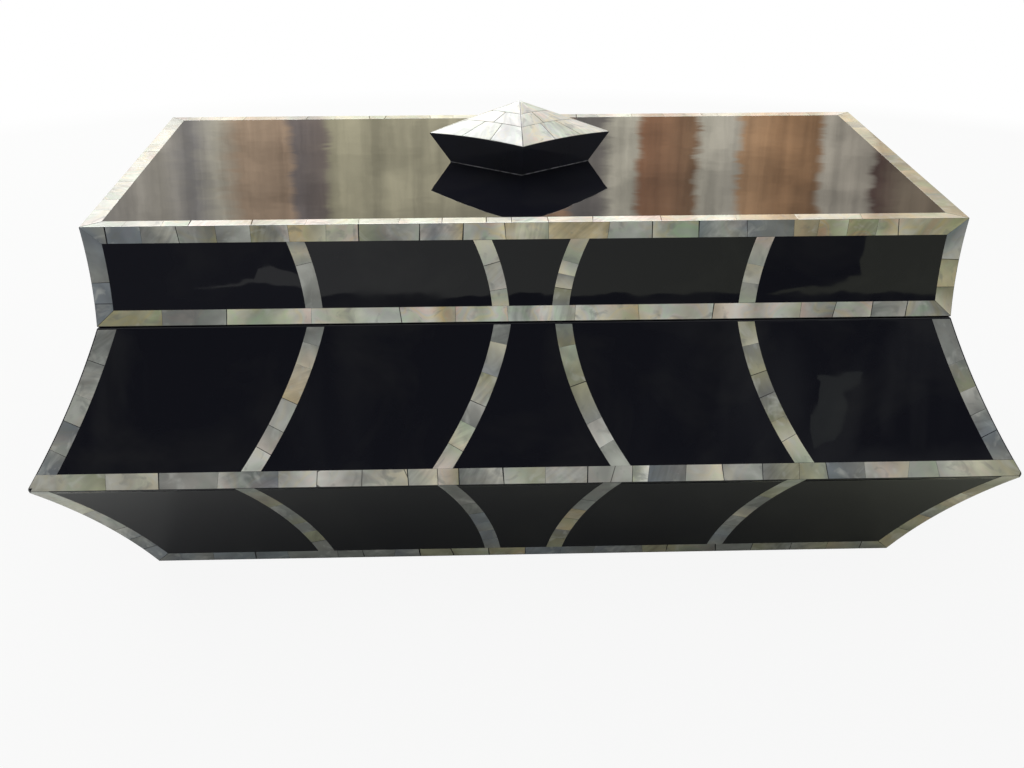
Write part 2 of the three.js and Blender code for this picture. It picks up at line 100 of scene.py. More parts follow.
# Where the seams of the front's long strips lie, as shares of half the strip's length from its
# middle, and the tones of the tiles between them from left to right.
FRONT_SEAM_SHARES = {
    "head": (
        -0.946, -0.868, -0.787, -0.701, -0.624, -0.539, -0.455, -0.382, -0.245, -0.147, -0.052,
        0.046, 0.182, 0.281, 0.387, 0.497, 0.604, 0.659, 0.727, 0.794, 0.843),
    "top": (
        -0.925, -0.838, -0.776, -0.634, -0.51, -0.389, -0.297, -0.198, -0.096, -0.038, 0.046, 0.15,
        0.308, 0.483, 0.623, 0.775),
    "sill": (
        -0.849, -0.7, -0.504, -0.297, -0.169, -0.047, 0.111, 0.26, 0.435, 0.642, 0.722, 0.811, 0.893),
    "band": (
        -0.853, -0.747, -0.629, -0.508, -0.43, -0.247, -0.187, -0.144, -0.054, 0.031, 0.117,
        0.208, 0.241, 0.317, 0.393, 0.474, 0.549, 0.606, 0.684, 0.774, 0.834),
    "foot": (
        -0.932, -0.844, -0.731, -0.643, -0.51, -0.441, -0.356, -0.288, -0.2, -0.101, -0.002, 0.095,
        0.185, 0.317, 0.384, 0.518, 0.617, 0.725, 0.824, 0.917),
}
# The sill's tones are lightened with white: partly the shell's own tone, partly painted light that makes up
# for the shade on its slightly downward face.
FRONT_TONES = {
    "head": "be b es seo es oes ggc cr oes sbsg ssc gccn gg s snn bsb be go gc go cgc cog",
    "top": "ws sw wn ws sw wn ws w wc w w wc w cw cg wc gc",
    "sill": "o ees cncw wcww wrwgn rwnwr wswwr wwcg cwrw cwrwc se sr es se",
    "band": "so sc es seb sw wsc sc ro es sno s s nw be sc s eo on be src sn sco",
    "foot": "eb be b b e e e be o on og b be be o oe e oe eo oe eo",
}

# How hand-cut tiles differ: the turn and shift of their figure, their shade, their colour play, which
# dark tiles show less of, how many are streaked, and how faintly the others are.
FIGURE_TURN = 0.5
FIGURE_SHIFT = 3
SHADE_RANGE = (0.9, 1.1)
PLAY_RANGE = (0.3, 1.0)
DARK_TONES = "eb"
DARK_PLAY_SHARE = 0.45
STREAKED_SHARE = 0.3
FAINT_STREAKS = 0.1

# How seams differ: their widths, the play at their ends, their slant and their shift.
SEAM_WIDTH_SHARES = (0.3, 0.3, 0.8, 1.3)
SEAM_END_RANGE = (0.6, 1.4)
SLANT_SHARE = 0.04
SHIFT_SHARE = 0.28

# Uprights have finer seams than borders, and the base and the uprights less colour play.
UPRIGHT_SEAM_SHARE = 0.55
UPRIGHT_PLAY = 0.4
BASE_PLAY = 0.5

# The tiles of each side's band that are cracked, counted from its left end.
CRACKED_TILES = (5, 11)

# What each tile book starts its random draws from, before the side's or the facet's number is added.
SEEDS = {"lid": 100, "top": 200, "flare": 300, "foot": 400, "knob": 500}


def length(label, text, default):
    return bpy.props.FloatProperty(
        name=label, description=text, default=default, min=0.0, unit="LENGTH", precision=5)


def tint(label, text, default):
    return bpy.props.FloatVectorProperty(
        name=label, description=text, default=default, size=3, min=0.0, max=1.0, subtype="COLOR")


def amount(label, text, default):
    return bpy.props.FloatProperty(name=label, description=text, default=default, min=0.0)


def place(label, text, default):
    return bpy.props.FloatVectorProperty(
        name=label, description=text, default=default, size=3, subtype="TRANSLATION")


def turn(label, text, default):
    return bpy.props.FloatProperty(name=label, description=text, default=default, subtype="ANGLE")


class BoxSizes(bpy.types.PropertyGroup):
    """Sizes of the box's visible pieces. Outsets are measured from the lid's top outline."""

    half_length: length("Half length", "Half the lid's length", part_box("shell_lid_right")[1].x)
    half_depth: length("Half depth", "Half the lid's depth", -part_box("shell_lid_front")[0].y)
    box_height: length("Box height", "Height of the lid's top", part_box("lid_wall_front")[1].z)
    lid_foot: length("Lid foot", "Height of the lid's lower edge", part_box("lid_wall_front")[0].z)
    split_height: length("Split height", "Height of the base's rim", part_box("base_wall_front")[1].z)
    felt_top: length("Felt top", "Height of the base's underside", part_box("base_felt")[1].z)
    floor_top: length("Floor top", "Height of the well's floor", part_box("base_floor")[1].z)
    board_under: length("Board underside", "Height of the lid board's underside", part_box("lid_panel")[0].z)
    flare_outset: length(
        "Flare outset", "How far the widest edge stands out",
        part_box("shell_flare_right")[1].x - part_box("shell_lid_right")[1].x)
    widest_height: length("Widest height", "Height of the widest edge", 0.0526)
    waist_inset: length("Waist inset", "How far the split is drawn in", 0.0013)
    foot_inset: length("Foot inset", "How far the foot is drawn in", 0.0108)
    well_inset: length("Well inset", "How far the well's walls are set in", 0.0133)
    lid_hollow: length("Lid hollow", "Depth of the hollow in the lid's sides", 0.0007)
    flare_hollow: length("Flare hollow", "Depth of the hollow above the widest edge", 0.0016)
    foot_hollow: length("Foot hollow", "Depth of the hollow below the widest edge", 0.0019)
    tip_radius: length("Tip radius", "Rounding of the widest corners in plan", 0.0025)
    lip_radius: length("Lip radius", "Rounding of the base's rim", 0.0005)
    arris_radius: length("Arris radius", "Rounding of the other lacquered edges", 0.0003)
    lacquer_drop: length("Lacquer drop", "How far the tiles stand proud of the lacquer", 0.00004)
    strip_width: length("Strip width", "Width of the border strips", 0.0064)
    sill_width: length("Sill width", "Width of the strip along the lid's lower edge", 0.006)
    foot_strip_width: length("Foot strip width", "Width of the strip round the foot", 0.0053)
    band_width: length("Band width", "Width of the band on the widest edge", 0.006)
    rib_width: length("Rib width", "Width of the curved ribs", 0.0062)
    edge_line: length("Edge line", "Black line left at the lid's and the base's lower edge", 0.0003)
    rim_lip: length("Rim lip", "Plain lacquer left under the base's rim", 0.0005)
    arris_line: length("Arris line", "Half the black line left on an arris", 0.00015)
    flare_arris_line: length("Flare arris line", "Half the black line left on a flare's arris", 0.00045)
    tile_thickness: length("Tile thickness", "Thickness of the shell tiles", 0.0009)
    tile_length: length("Tile length", "Usual length of a tile", 0.0145)
    rib_tile_length: length("Rib tile length", "Usual length of a tile in a flare's rib", 0.0105)
    foot_tile_length: length("Foot tile length", "Usual length of a tile in a foot's rib", 0.0082)
    tile_seam: length("Tile seam", "Width of the seam between tiles", 0.0003)
    tile_step: length("Tile step", "Width of a facet of a tile", 0.0012)
    tile_bevel: length("Tile bevel", "Width of a tile's eased edge", 0.00007)
    tile_bevel_drop: length("Tile bevel drop", "Depth of a tile's eased edge", 0.00003)
    lining_thickness: length("Lining thickness", "Thickness of the velvet-covered card", 0.0025)
    pocket_gap: length("Pocket gap", "Gap round a hinge leaf in its pocket", 0.0003)
    metal_ease: length("Metal ease", "Width of the metal's eased edges", 0.00015)


class KnobSizes(bpy.types.PropertyGroup):
    """Sizes of the knob. Halves are half diagonals, and heights are above the lid."""

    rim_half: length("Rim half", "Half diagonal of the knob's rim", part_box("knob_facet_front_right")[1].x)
    height: length(
        "Height", "Height of the apex",
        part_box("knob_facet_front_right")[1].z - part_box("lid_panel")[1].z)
    foot_half_along: length("Foot half along", "Half diagonal of its foot along the box", 0.0285)
    foot_half_across: length("Foot half across", "Half diagonal of its foot across the box", 0.022)
    side_rim_height: length("Side rim height", "Height of the rim's left and right corners", 0.0122)
    front_rim_height: length("Front rim height", "Height of the rim's front and back corners", 0.0154)
    seam: length("Arris seam", "Width of the seam between two facets", 0.0005)
    bead_radius: length("Bead radius", "Radius of the glue line round its foot", 0.00035)
    body_drop: length("Body drop", "How far the lacquered body lies under the tiles", 0.00012)


class BoxColours(bpy.types.PropertyGroup):
    """Colours of the finishes."""

    lacquer: tint("Lacquer", "Body colour of the lacquer", (0.0085, 0.0090, 0.0140))
    # The knob's lacquer is a lighter copy of the body's lacquer: painted light that lifts the knob's shaded
    # underside.
    knob_lacquer: tint("Knob lacquer", "Body colour of the knob's lacquer", (0.0280, 0.0295, 0.0400))
    dust: tint("Dust", "Colour of smears on the lacquer", (0.0260, 0.0265, 0.0280))
    velvet: tint("Velvet", "Pile of the linings", (0.028, 0.026, 0.031))
    velvet_sheen: tint("Velvet sheen", "Sheen of the pile", (0.35, 0.33, 0.40))
    felt: tint("Felt", "Felt under the box", (0.012, 0.012, 0.014))
    brass: tint("Brass", "Hinges and their screws", (0.72, 0.50, 0.20))
    brass_dark: tint("Brass dark", "Tarnish on the brass", (0.30, 0.19, 0.08))
    steel: tint("Steel", "Knob's screw and washer", (0.55, 0.55, 0.56))
    steel_dark: tint("Steel dark", "Smears on the steel", (0.33, 0.33, 0.336))
    glue: tint("Glue line", "Filler round the knob's foot", (0.10, 0.10, 0.11))


class Studio(bpy.types.PropertyGroup):
    """Camera, light and backdrop."""

    camera_place: place("Camera place", "Where the camera stands", (-0.02077, -0.54999, 0.29115))
    camera_pitch: turn("Camera pitch", "How far the camera looks down", 0.42225)
    camera_yaw: turn("Camera yaw", "How far the camera turns left", -0.03189)
    camera_roll: turn("Camera roll", "How far the camera leans", -0.00092)
    focal_pixels: amount("Focal length in pixels", "Focal length for an image 1024 pixels wide", 1350.0)
    ambient: amount("Ambient", "Strength of the light from all round", 0.58)
    key_power: bpy.props.FloatProperty(
        name="Key power", description="Power of the soft light at the back left", unit="POWER", default=9.3)
    key_width: length("Key width", "Width of the soft light", 1.8)
    key_height: length("Key height", "Height of the soft light", 0.6)
    key_place: place("Key place", "Where the soft light hangs", (-0.45, 0.92, 0.74))
    floor_radius: length("Floor radius", "Radius of the floor", 3.0)
    floor: tint("Floor", "Colour of the floor", (0.56, 0.575, 0.545))
    floor_white: amount("Floor white", "How far the floor is seen whiter than it is lit", 0.91)
    # Painted reflection: a warm tint that only gloss sees on the right part of the floor.
    floor_reflection_tint: tint("Floor mirror", "How gloss tints the right part of the floor", (0.62, 0.65, 0.43))
    fade_start: length("Fade start", "Where the floor starts to fade into the backdrop", 0.10)
    fade_end: length("Fade end", "Where the floor has faded into the backdrop", 0.845)
    # The cards below glow and only gloss sees them: their shades are painted reflections.
    front_card_height: length("Front card height", "Height of the dark card", 0.55)
    front_card_shade: tint("Front card shade", "What the dark card gives off", (0.05, 0.05, 0.056))
    front_card_patch: tint("Front card patch", "What its paler patches give off", (0.30, 0.31, 0.31))
    front_card_left_shade: tint("Front card left shade", "What its left part gives off", (0.12, 0.12, 0.14))
    pale_card_shade: tint("Pale card shade", "What the small pale card gives off", (0.38, 0.41, 0.38))
    dark_reflection_lift: length("Cloth lift", "How high the dark cloths lie above the floor", 0.001)
    back_card: length("Back card", "How far behind the warm card stands", 0.62)
    back_card_left: length("Back card left", "How far left the warm card reaches", 0.62)
    back_card_right: length("Back card right", "How far right the warm card reaches", 0.70)
    back_card_low: length("Back card low", "Height of the warm card's lower edge", 0.16)
    back_card_high: length("Back card high", "Height of the warm card's upper edge", 0.40)


# The outlines of two dark glowing sheets that lie on the floor in front, and the foot of the dark card that
# stands behind them, as seen by the lid's gloss alone: painted reflections.
LEFT_DARK_REFLECTION = (
    (-0.118, -0.27), (-0.118, -0.379), (-0.139, -0.366), (-0.147, -0.367), (-0.151, -0.3795),
    (-0.190, -0.3835), (-0.151, -0.3825), (-0.118, -0.388), (-0.115, -0.43), (-0.62, -0.43),
    (-0.62, -0.27))
RIGHT_DARK_REFLECTION = (
    (0.15, -0.27), (0.214, -0.27), (0.212, -0.369), (0.2155, -0.381), (0.193, -0.391), (0.15, -0.399))
FRONT_CARD = ((-0.62, -0.391), (-0.10, -0.394), (0.03, -0.399), (0.70, -0.403))

# The outline of a pale glowing card, as places along and up, that stands just before the dark one and that
# the
# right panel of the flare mirrors: a painted reflection.
PALE_CARD = (
    (0.192, 0.2197), (0.221, 0.2197), (0.219, 0.2216), (0.2086, 0.2246), (0.211, 0.229),
    (0.2086, 0.2344), (0.2044, 0.2393), (0.1914, 0.2424), (0.189, 0.2355), (0.189, 0.230),
    (0.194, 0.229), (0.1942, 0.2224), (0.192, 0.2213))
PALE_CARD_PLACE = -0.3895

# How far the banded part of the back card reaches, its bands from left to right, how far their edges stray
# and how strongly it glows. The bands are a painted reflection of a room, which the lid's top mirrors.
CARD_REACH = (-0.34, 0.38)
CARD_BANDS = (
    (0.00, (0.62, 0.58, 0.52)), (0.08, (0.84, 0.78, 0.66)), (0.12, (0.60, 0.57, 0.54)),
    (0.15, (0.95, 0.89, 0.72)), (0.18, (0.84, 0.62, 0.43)), (0.235, (0.76, 0.55, 0.38)),
    (0.245, (0.36, 0.31, 0.29)), (0.28, (0.46, 0.38, 0.33)), (0.29, (0.82, 0.76, 0.52)),
    (0.52, (0.88, 0.82, 0.58)), (0.55, (0.60, 0.38, 0.24)), (0.575, (0.66, 0.42, 0.27)),
    (0.585, (0.30, 0.28, 0.26)), (0.62, (0.34, 0.31, 0.28)), (0.635, (1.00, 0.94, 0.76)),
    (0.66, (1.00, 0.94, 0.76)), (0.67, (0.60, 0.32, 0.18)), (0.735, (0.46, 0.28, 0.16)),
    (0.745, (0.92, 0.86, 0.70)), (0.787, (0.88, 0.82, 0.68)), (0.797, (0.84, 0.52, 0.29)),
    (0.84, (0.72, 0.42, 0.22)), (0.888, (0.50, 0.29, 0.15)), (0.898, (0.80, 0.73, 0.60)),
    (0.955, (0.76, 0.69, 0.57)), (0.965, (0.22, 0.14, 0.11)), (1.00, (0.40, 0.32, 0.23)))

RAGGED_WIDTH = 0.022
WARM_CARD_STRENGTH = 1.4

# Where the dark card's paler parts, painted reflections of light shapes in a room, begin and end, along and
# up, and how pale its upper strip is.
PATCHES_ABOVE = (0.07, 0.14)
PATCHES_ASIDE = (0.05, 0.22)
STRIP_ABOVE = (0.247, 0.254)
STRIP_PALENESS = 0.6
LEFT_PART = (-0.06, -0.13)

# Painted reflection: between which places gloss alone sees the floor grow warmer, and how much of that
# warmth goes into the floor's lit colour as gloss sees it.
FLOOR_REFLECTION_WARMTH = (-0.14, 0.14)
LIT_WARMTH_SHARE = 0.4

LACQUER_IOR = 1.43
SHELL_IOR = 1.55

IMAGE_WIDTH = 1024
SENSOR_WIDTH = 36.0
CLIP_START = 0.01


def sizes():
    return bpy.context.scene.box_sizes


def colours():
    return bpy.context.scene.box_colours


def lerp(a, b, t):
    return a + (b - a) * t


def bend(a, b, c, t):
    """A point of the curve from a to c that is drawn towards b."""
    return a * (1 - t) ** 2 + b * 2 * t * (1 - t) + c * t ** 2


# Curves and faces


class Face:
    """One section of a wall's outer face, as a hollow curve from its lower end to its upper one."""

    def __init__(self, low, high, hollow):
        chord = high - low
        inwards = Vector((-chord.y, chord.x)).normalized()
        self.low = low
        self.high = high
        self.middle = (low + high) / 2 + inwards * 2 * hollow
        points = [self.spot(i / CURVE_STEPS) for i in range(CURVE_STEPS + 1)]
        self.run = [0.0]
        for a, b in zip(points, points[1:]):
            self.run.append(self.run[-1] + (b - a).length)
        self.length = self.run[-1]

    def spot(self, t):
        return bend(self.low, self.middle, self.high, t)

    def share(self, d):
        i = min(max(bisect.bisect_right(self.run, d) - 1, 0), CURVE_STEPS - 1)
        part = (d - self.run[i]) / (self.run[i + 1] - self.run[i])
        return (i + part) / CURVE_STEPS

    def outset(self, d):
        return self.spot(self.share(d)).x

    def height(self, d):
        return self.spot(self.share(d)).y

    def normal(self, d):
        t = self.share(d)
        along = lerp(self.middle - self.low, self.high - self.middle, t).normalized()
        return Vector((along.y, -along.x))

    def below(self, d, depth):
        """The point under the face at d, as outset and height."""
        return self.spot(self.share(d)) - self.normal(d) * depth

    def at_height(self, height):
        """The distance up the curve at which it reaches a height."""
        low, high = 0.0, self.length
        for _ in range(HALVINGS):
            d = (low + high) / 2
            if self.height(d) < height:
                low = d
            else:
                high = d
        return low

    def line(self, depth):
        """Points along the whole curve, sunk by depth."""
        return [self.below(d, depth) for d in self.run]


class Side:
    """One of the four sides, drawn as if it were the front and then turned to its place."""

    def __init__(self, name, turn, along, across):
        self.name = name
        self.is_front = name == "front"
        self.turn = Matrix.Rotation(turn, 3, "Z")
        self.along = along
        self.across = across

    def place(self, x, out, height):
        """A point of this side, with the widest corners rounded in plan."""
        s = sizes()
        y = self.across + out
        centre = s.flare_outset - s.tip_radius
        dx = abs(x) - self.along - centre
        dy = y - self.across - centre
        if dx > 0 and dy > 0 and math.hypot(dx, dy) > s.tip_radius:
            pull = s.tip_radius / math.hypot(dx, dy)
            x = math.copysign(self.along + centre + dx * pull, x)
            y = self.across + centre + dy * pull
        return self.turn @ Vector((x, -y, height))


def four_sides():
    s = sizes()
    return [
        Side("front", 0, s.half_length, s.half_depth),
        Side("right", math.pi / 2, s.half_depth, s.half_length),
        Side("back", math.pi, s.half_length, s.half_depth),
        Side("left", -math.pi / 2, s.half_depth, s.half_length),
    ]


def wall_faces():
    s = sizes()
    foot = Vector((-s.foot_inset, s.felt_top))
    widest = Vector((s.flare_outset, s.widest_height))
    rim = Vector((-s.waist_inset, s.split_height))
    lid_foot = Vector((-s.waist_inset, s.lid_foot))
    lid_top = Vector((0, s.box_height))
    return {
        "foot": Face(foot, widest, s.foot_hollow),
        "flare": Face(widest, rim, s.flare_hollow),
        "lid": Face(lid_foot, lid_top, s.lid_hollow),
        "top": Face(lid_top, Vector((-s.half_depth, s.box_height)), 0),
    }


# Meshes


def linked(name, data):
    """A new object in the scene."""
    made = bpy.data.objects.new(name, data)
    bpy.context.scene.collection.objects.link(made)
    return made


def show(mesh, name, body, slot_name, material_name, *nodes):
    """A finished mesh as a piece that rides on a body and stands for CAD nodes."""
    piece = linked(name, mesh)
    mesh.materials.append(material_named(material_name))
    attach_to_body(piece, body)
    if nodes:
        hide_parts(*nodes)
    return piece


def as_mesh(bm, name):
    mesh = bpy.data.meshes.new(name)
    bm.to_mesh(mesh)
    bm.free()
    return mesh


def shaded(mesh, angle=SHARP_ANGLE):
    """The mesh shaded smooth up to a sharp angle."""
    mesh.shade_smooth()
    mesh.set_sharp_from_angle(angle=angle)
    return mesh


def smoothed(bm, name):
    """The mesh with welded points, outward faces and smooth shading."""
    bmesh.ops.remove_doubles(bm, verts=bm.verts, dist=WELD_DISTANCE)
    bmesh.ops.dissolve_degenerate(bm, edges=bm.edges, dist=WELD_DISTANCE)
    bmesh.ops.recalc_face_normals(bm, faces=bm.faces)
    return shaded(as_mesh(bm, name))


def block(low, high):
    """A box between two corners."""
    bm = bmesh.new()
    bmesh.ops.create_cube(bm, size=1)
    for v in bm.verts:
        v.co = Vector(lerp(a, b, c + 0.5) for a, b, c in zip(low, high, v.co))
    return bm


def loft(name, rings, closed=False):
    """A closed mesh through rings of points, capped at both ends or joined round."""
    bm = bmesh.new()
    rows = [[bm.verts.new(p) for p in ring] for ring in rings]
    pairs = list(zip(rows, rows[1:]))
    if closed:
        pairs.append((rows[-1], rows[0]))
    for a, b in pairs:
        for i in range(len(a)):
            j = (i + 1) % len(a)
            bm.faces.new((a[i], a[j], b[j], b[i]))
    if not closed:
        bm.faces.new(reversed(rows[0]))
        bm.faces.new(rows[-1])
    return smoothed(bm, name)


def eased(corners):
    """An outline whose corners, given as point and radius, are rounded where the radius isn't zero."""
    outline = []
    for i, (corner, radius) in enumerate(corners):
        if radius == 0:
            outline.append(corner)
            continue
        start = corner + (corners[i - 1][0] - corner).normalized() * radius
        end = corner + (corners[i + 1][0] - corner).normalized() * radius
        outline += [bend(start, corner, end, k / EASE_STEPS) for k in range(EASE_STEPS + 1)]
    return outline


def plain(points):
    return [(p, 0) for p in points]


def carcase_ring(out, height):
    """A rectangle round the box at an outset, with the widest corners rounded."""
    s = sizes()
    centre = s.flare_outset - s.tip_radius
    reach = out - centre
    start = math.acos(min(reach / s.tip_radius, 1)) if reach > 0 else math.pi / 4
    ring = []
    for quarter in range(4):
        sign_x = 1 if quarter in (0, 3) else -1
        sign_y = 1 if quarter in (0, 1) else -1
        for k in range(TIP_STEPS + 1):
            share = k / TIP_STEPS if sign_x == sign_y else 1 - k / TIP_STEPS
            x = y = out
            if start < math.pi / 4:
                angle = lerp(start, math.pi / 2 - start, share)
                x = centre + s.tip_radius * math.cos(angle)
                y = centre + s.tip_radius * math.sin(angle)
            ring.append(Vector((sign_x * (s.half_length + x), sign_y * (s.half_depth + y), height)))
    return ring


def carved(mesh, cutters):
    """The mesh with boxes cut out of it."""
    work = linked("carcase_work", mesh)
    tools = [linked("pocket_work", as_mesh(block(low, high), "pocket_work")) for low, high in cutters]
    for tool in tools:
        cut = work.modifiers.new("pocket", "BOOLEAN")
        cut.object = tool
        cut.operation = "DIFFERENCE"
        cut.solver = "EXACT"
    graph = bpy.context.evaluated_depsgraph_get()
    result = bpy.data.meshes.new_from_object(work.evaluated_get(graph), depsgraph=graph)
    for used in (work, *tools):
        bpy.data.objects.remove(used)
    return shaded(result)


def hinge_pockets(half):
    """The room cut for the two hinge leaves of one half, as boxes open to the split and the inside."""
    s = sizes()
    boxes = []
    for hand in ("left", "right"):
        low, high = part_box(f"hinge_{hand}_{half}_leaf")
        low = low - Vector.Fill(3, s.pocket_gap)
        high = high + Vector.Fill(3, s.pocket_gap)
        high.y += s.lining_thickness
        if half == "lid":
            low.z = s.split_height
        else:
            high.z = s.lid_foot + s.lining_thickness
        boxes.append((low, high))
    return boxes


# Shader nodes


def fill(tree, node, inputs):
    """Sets a node's inputs to values, or links them to outputs."""
    for key, value in inputs.items():
        if isinstance(value, bpy.types.NodeSocket):
            tree.links.new(value, node.inputs[key])
        else:
            node.inputs[key].default_value = value


def add(tree, kind, inputs=None, **settings):
    """A new node with its settings and inputs."""
    node = tree.nodes.new(kind)
    for key, value in settings.items():
        setattr(node, key, value)
    fill(tree, node, inputs or {})
    return node


def calc(tree, operation, a, b=0.0, c=0.0):
    return add(tree, "ShaderNodeMath", {0: a, 1: b, 2: c}, operation=operation).outputs[0]


def times(tree, a, b):
    return calc(tree, "MULTIPLY", a, b)


def per(tree, size):
    """The scale of a pattern of that size."""
    return calc(tree, "DIVIDE", 1.0, size)


def blended(tree, factor, a, b, how="MIX"):
    """Two colours mixed by a factor."""
    node = add(tree, "ShaderNodeMix", {0: factor, 6: a, 7: b}, data_type="RGBA", blend_type=how)
    return node.outputs[2]


def tinted(tree, colour, by, factor=1.0):
    """A colour multiplied by another."""
    return blended(tree, factor, colour, by, "MULTIPLY")


def grey(tree, value):
    return add(tree, "ShaderNodeCombineColor", {0: value, 1: value, 2: value}).outputs[0]


def colour_ramp(tree, value, stops):
    """A colour that follows a value through stops of place and colour."""
    node = add(tree, "ShaderNodeValToRGB", {0: value})
    held = node.color_ramp.elements
    for _ in stops[2:]:
        held.new(0.5)
    for stop, (place, colour) in zip(held, stops):
        stop.position = place
        stop.color = (*colour, 1.0)
    return node.outputs[0]


def ramp(tree, value, low, high, to_low=0.0, to_high=1.0):
    """A value taken from one range to another and held there."""
    node = add(tree, "ShaderNodeMapRange", {0: value, 1: low, 2: high, 3: to_low, 4: to_high})
    return node.outputs[0]


def noise(tree, place, scale, detail=2.0, roughness=0.5, distortion=0.0):
    node = add(tree, "ShaderNodeTexNoise", {
        "Vector": place, "Scale": scale, "Detail": detail, "Roughness": roughness,
        "Distortion": distortion})
    return node.outputs["Fac"]


def stretched(tree, place, scales):
    node = add(tree, "ShaderNodeVectorMath", {0: place, 1: scales}, operation="MULTIPLY")
    return node.outputs[0]


def bumped(tree, height, distance):
    return add(tree, "ShaderNodeBump", {"Height": height, "Distance": distance, "Strength": 1.0}).outputs[0]


def new_group(name, inputs, outputs):
    """A shader node group with named sockets, its input node's outputs and its output node."""
    tree = bpy.data.node_groups.new(name, "ShaderNodeTree")
    for label, kind, default in inputs:
        socket = tree.interface.new_socket(name=label, in_out="INPUT", socket_type=f"NodeSocket{kind}")
        if default is not None:
            socket.default_value = default
    for label, kind in outputs:
        tree.interface.new_socket(name=label, in_out="OUTPUT", socket_type=f"NodeSocket{kind}")
    return tree, add(tree, "NodeGroupInput").outputs, add(tree, "NodeGroupOutput")


def hand_polish_group(name):
    """Smears, faint waves and hairlines that hand polishing leaves on a hard surface."""
    tree, given, result = new_group(
        name, (("Place", "Vector", None), ("Smear size", "Float", 0.05), ("Wave size", "Float", 0.03)),
        (("Smear", "Float"), ("Wave", "Float"), ("Hairline", "Float")))
    place = given["Place"]
    smear = noise(tree, place, per(tree, given["Smear size"]), 4.0, 0.6, 0.6)
    wave = noise(tree, place, per(tree, given["Wave size"]), 1.0, 0.3)
    lines = noise(tree, stretched(tree, place, (40.0, 2600.0, 900.0)), 1.0, 2.0, 0.6)
    fill(tree, result, {
        "Smear": ramp(tree, smear, 0.48, 0.78), "Wave": wave, "Hairline": ramp(tree, lines, 0.66, 0.8)})
    return tree


def fibre_group(name):
    """Short fibres of a pile or a felt."""
    tree, given, result = new_group(
        name, (("Place", "Vector", None), ("Fibre size", "Float", 0.0004), ("Patch size", "Float", 0.02)),
        (("Shade", "Float"), ("Height", "Float")))
    fine = noise(tree, given["Place"], per(tree, given["Fibre size"]), 3.0, 0.7)
    patch = noise(tree, given["Place"], per(tree, given["Patch size"]), 3.0, 0.6, 0.8)
    shade = calc(tree, "MULTIPLY_ADD", fine, 0.5, times(tree, patch, 0.5))
    fill(tree, result, {"Shade": shade, "Height": fine})
    return tree


def shell_figure_group(name):
    """The cloudy figure, growth streaks, colour play, pale patches that are partly painted sheen, and cracks
    of a polished shell tile.

    Kind holds how cracked, how colourful and how streaked the tile is.
    """
    tree, given, result = new_group(
        name,
        (("Place", "Vector", None), ("Tone", "Color", (0.5, 0.5, 0.5, 1)), ("Kind", "Vector", None),
         ("Cloud size", "Float", 0.012)),
        (("Color", "Color"), ("Roughness", "Float"), ("Height", "Float")))
    place = given["Place"]
    kind = add(tree, "ShaderNodeSeparateXYZ", {0: given["Kind"]}).outputs
    scale = per(tree, given["Cloud size"])
    cloud = noise(tree, place, scale, 2.0, 0.45, 0.5)
    squeezed = stretched(tree, place, (0.8, 1.0, 1.0))
    veil = noise(tree, squeezed, times(tree, scale, 1.9), 3.0, 0.5, 0.8)
    hue = noise(tree, place, times(tree, scale, 1.1), 1.0, 0.4, 0.6)
    oblique = add(tree, "ShaderNodeVectorRotate", {"Vector": place, "Angle": math.radians(38)},
                  rotation_type="Z_AXIS").outputs[0]
    drawn_out = stretched(tree, oblique, (1.0, 0.14, 1.0))
    streak = noise(tree, drawn_out, times(tree, scale, 7.0), 2.0, 0.5)

    faint = times(tree, calc(tree, "SUBTRACT", streak, 0.5), times(tree, kind["Z"], 0.9))
    bright = calc(tree, "ADD", ramp(tree, cloud, 0.30, 0.70, 0.74, 1.24), faint)
    lit = tinted(tree, given["Tone"], grey(tree, bright))
    play = tinted(tree, lit, colour_ramp(tree, hue, (
        (0.32, (0.86, 0.95, 0.95)), (0.41, (0.86, 1.05, 0.88)), (0.47, (1.0, 1.0, 1.0)),
        (0.53, (1.12, 1.02, 0.76)), (0.58, (1.0, 1.0, 1.0)), (0.66, (1.16, 0.94, 0.90)))))
    coloured = blended(tree, kind["Y"], lit, play)
    # Pale silvery patches: partly the shell's own figure, partly painted sheen.
    figure_and_sheen = blended(tree, ramp(tree, veil, 0.55, 0.70, 0.0, 0.45), coloured, (0.74, 0.75, 0.70, 1))
    clouded = blended(tree, ramp(tree, veil, 0.42, 0.30, 0.0, 0.5), figure_and_sheen, (0.22, 0.23, 0.22, 1))

    crack = add(tree, "ShaderNodeTexVoronoi", {"Vector": place, "Scale": 48.0},
                feature="DISTANCE_TO_EDGE").outputs["Distance"]
    line = times(tree, ramp(tree, crack, 0.004, 0.011, 1.0, 0.0), kind["X"])
    fill(tree, result, {
        "Color": blended(tree, times(tree, line, 0.85), clouded, (0.05, 0.045, 0.04, 1)),
        "Roughness": ramp(tree, veil, 0.3, 0.7, 0.38, 0.28),
        "Height": calc(tree, "SUBTRACT", times(tree, cloud, 0.8), line)})
    return tree


GROUPS = {"hand_polish": hand_polish_group, "fibre": fibre_group, "shell_figure": shell_figure_group}


def grouped(tree, name, inputs):
    """The outputs of a node of that group, which is made on first use."""
    group = bpy.data.node_groups.get(name) or GROUPS[name](name)
    return add(tree, "ShaderNodeGroup", inputs, node_tree=group).outputs


def attach(tree, shader, **inputs):
    """Fills the shader's inputs, whose names have underscores here."""
    fill(tree, shader, {key.replace("_", " "): value for key, value in inputs.items()})


def object_place(tree):
    return add(tree, "ShaderNodeTexCoord").outputs["Object"]


def opaque(colour, share=1.0):
    return (*(c * share for c in colour), 1.0)


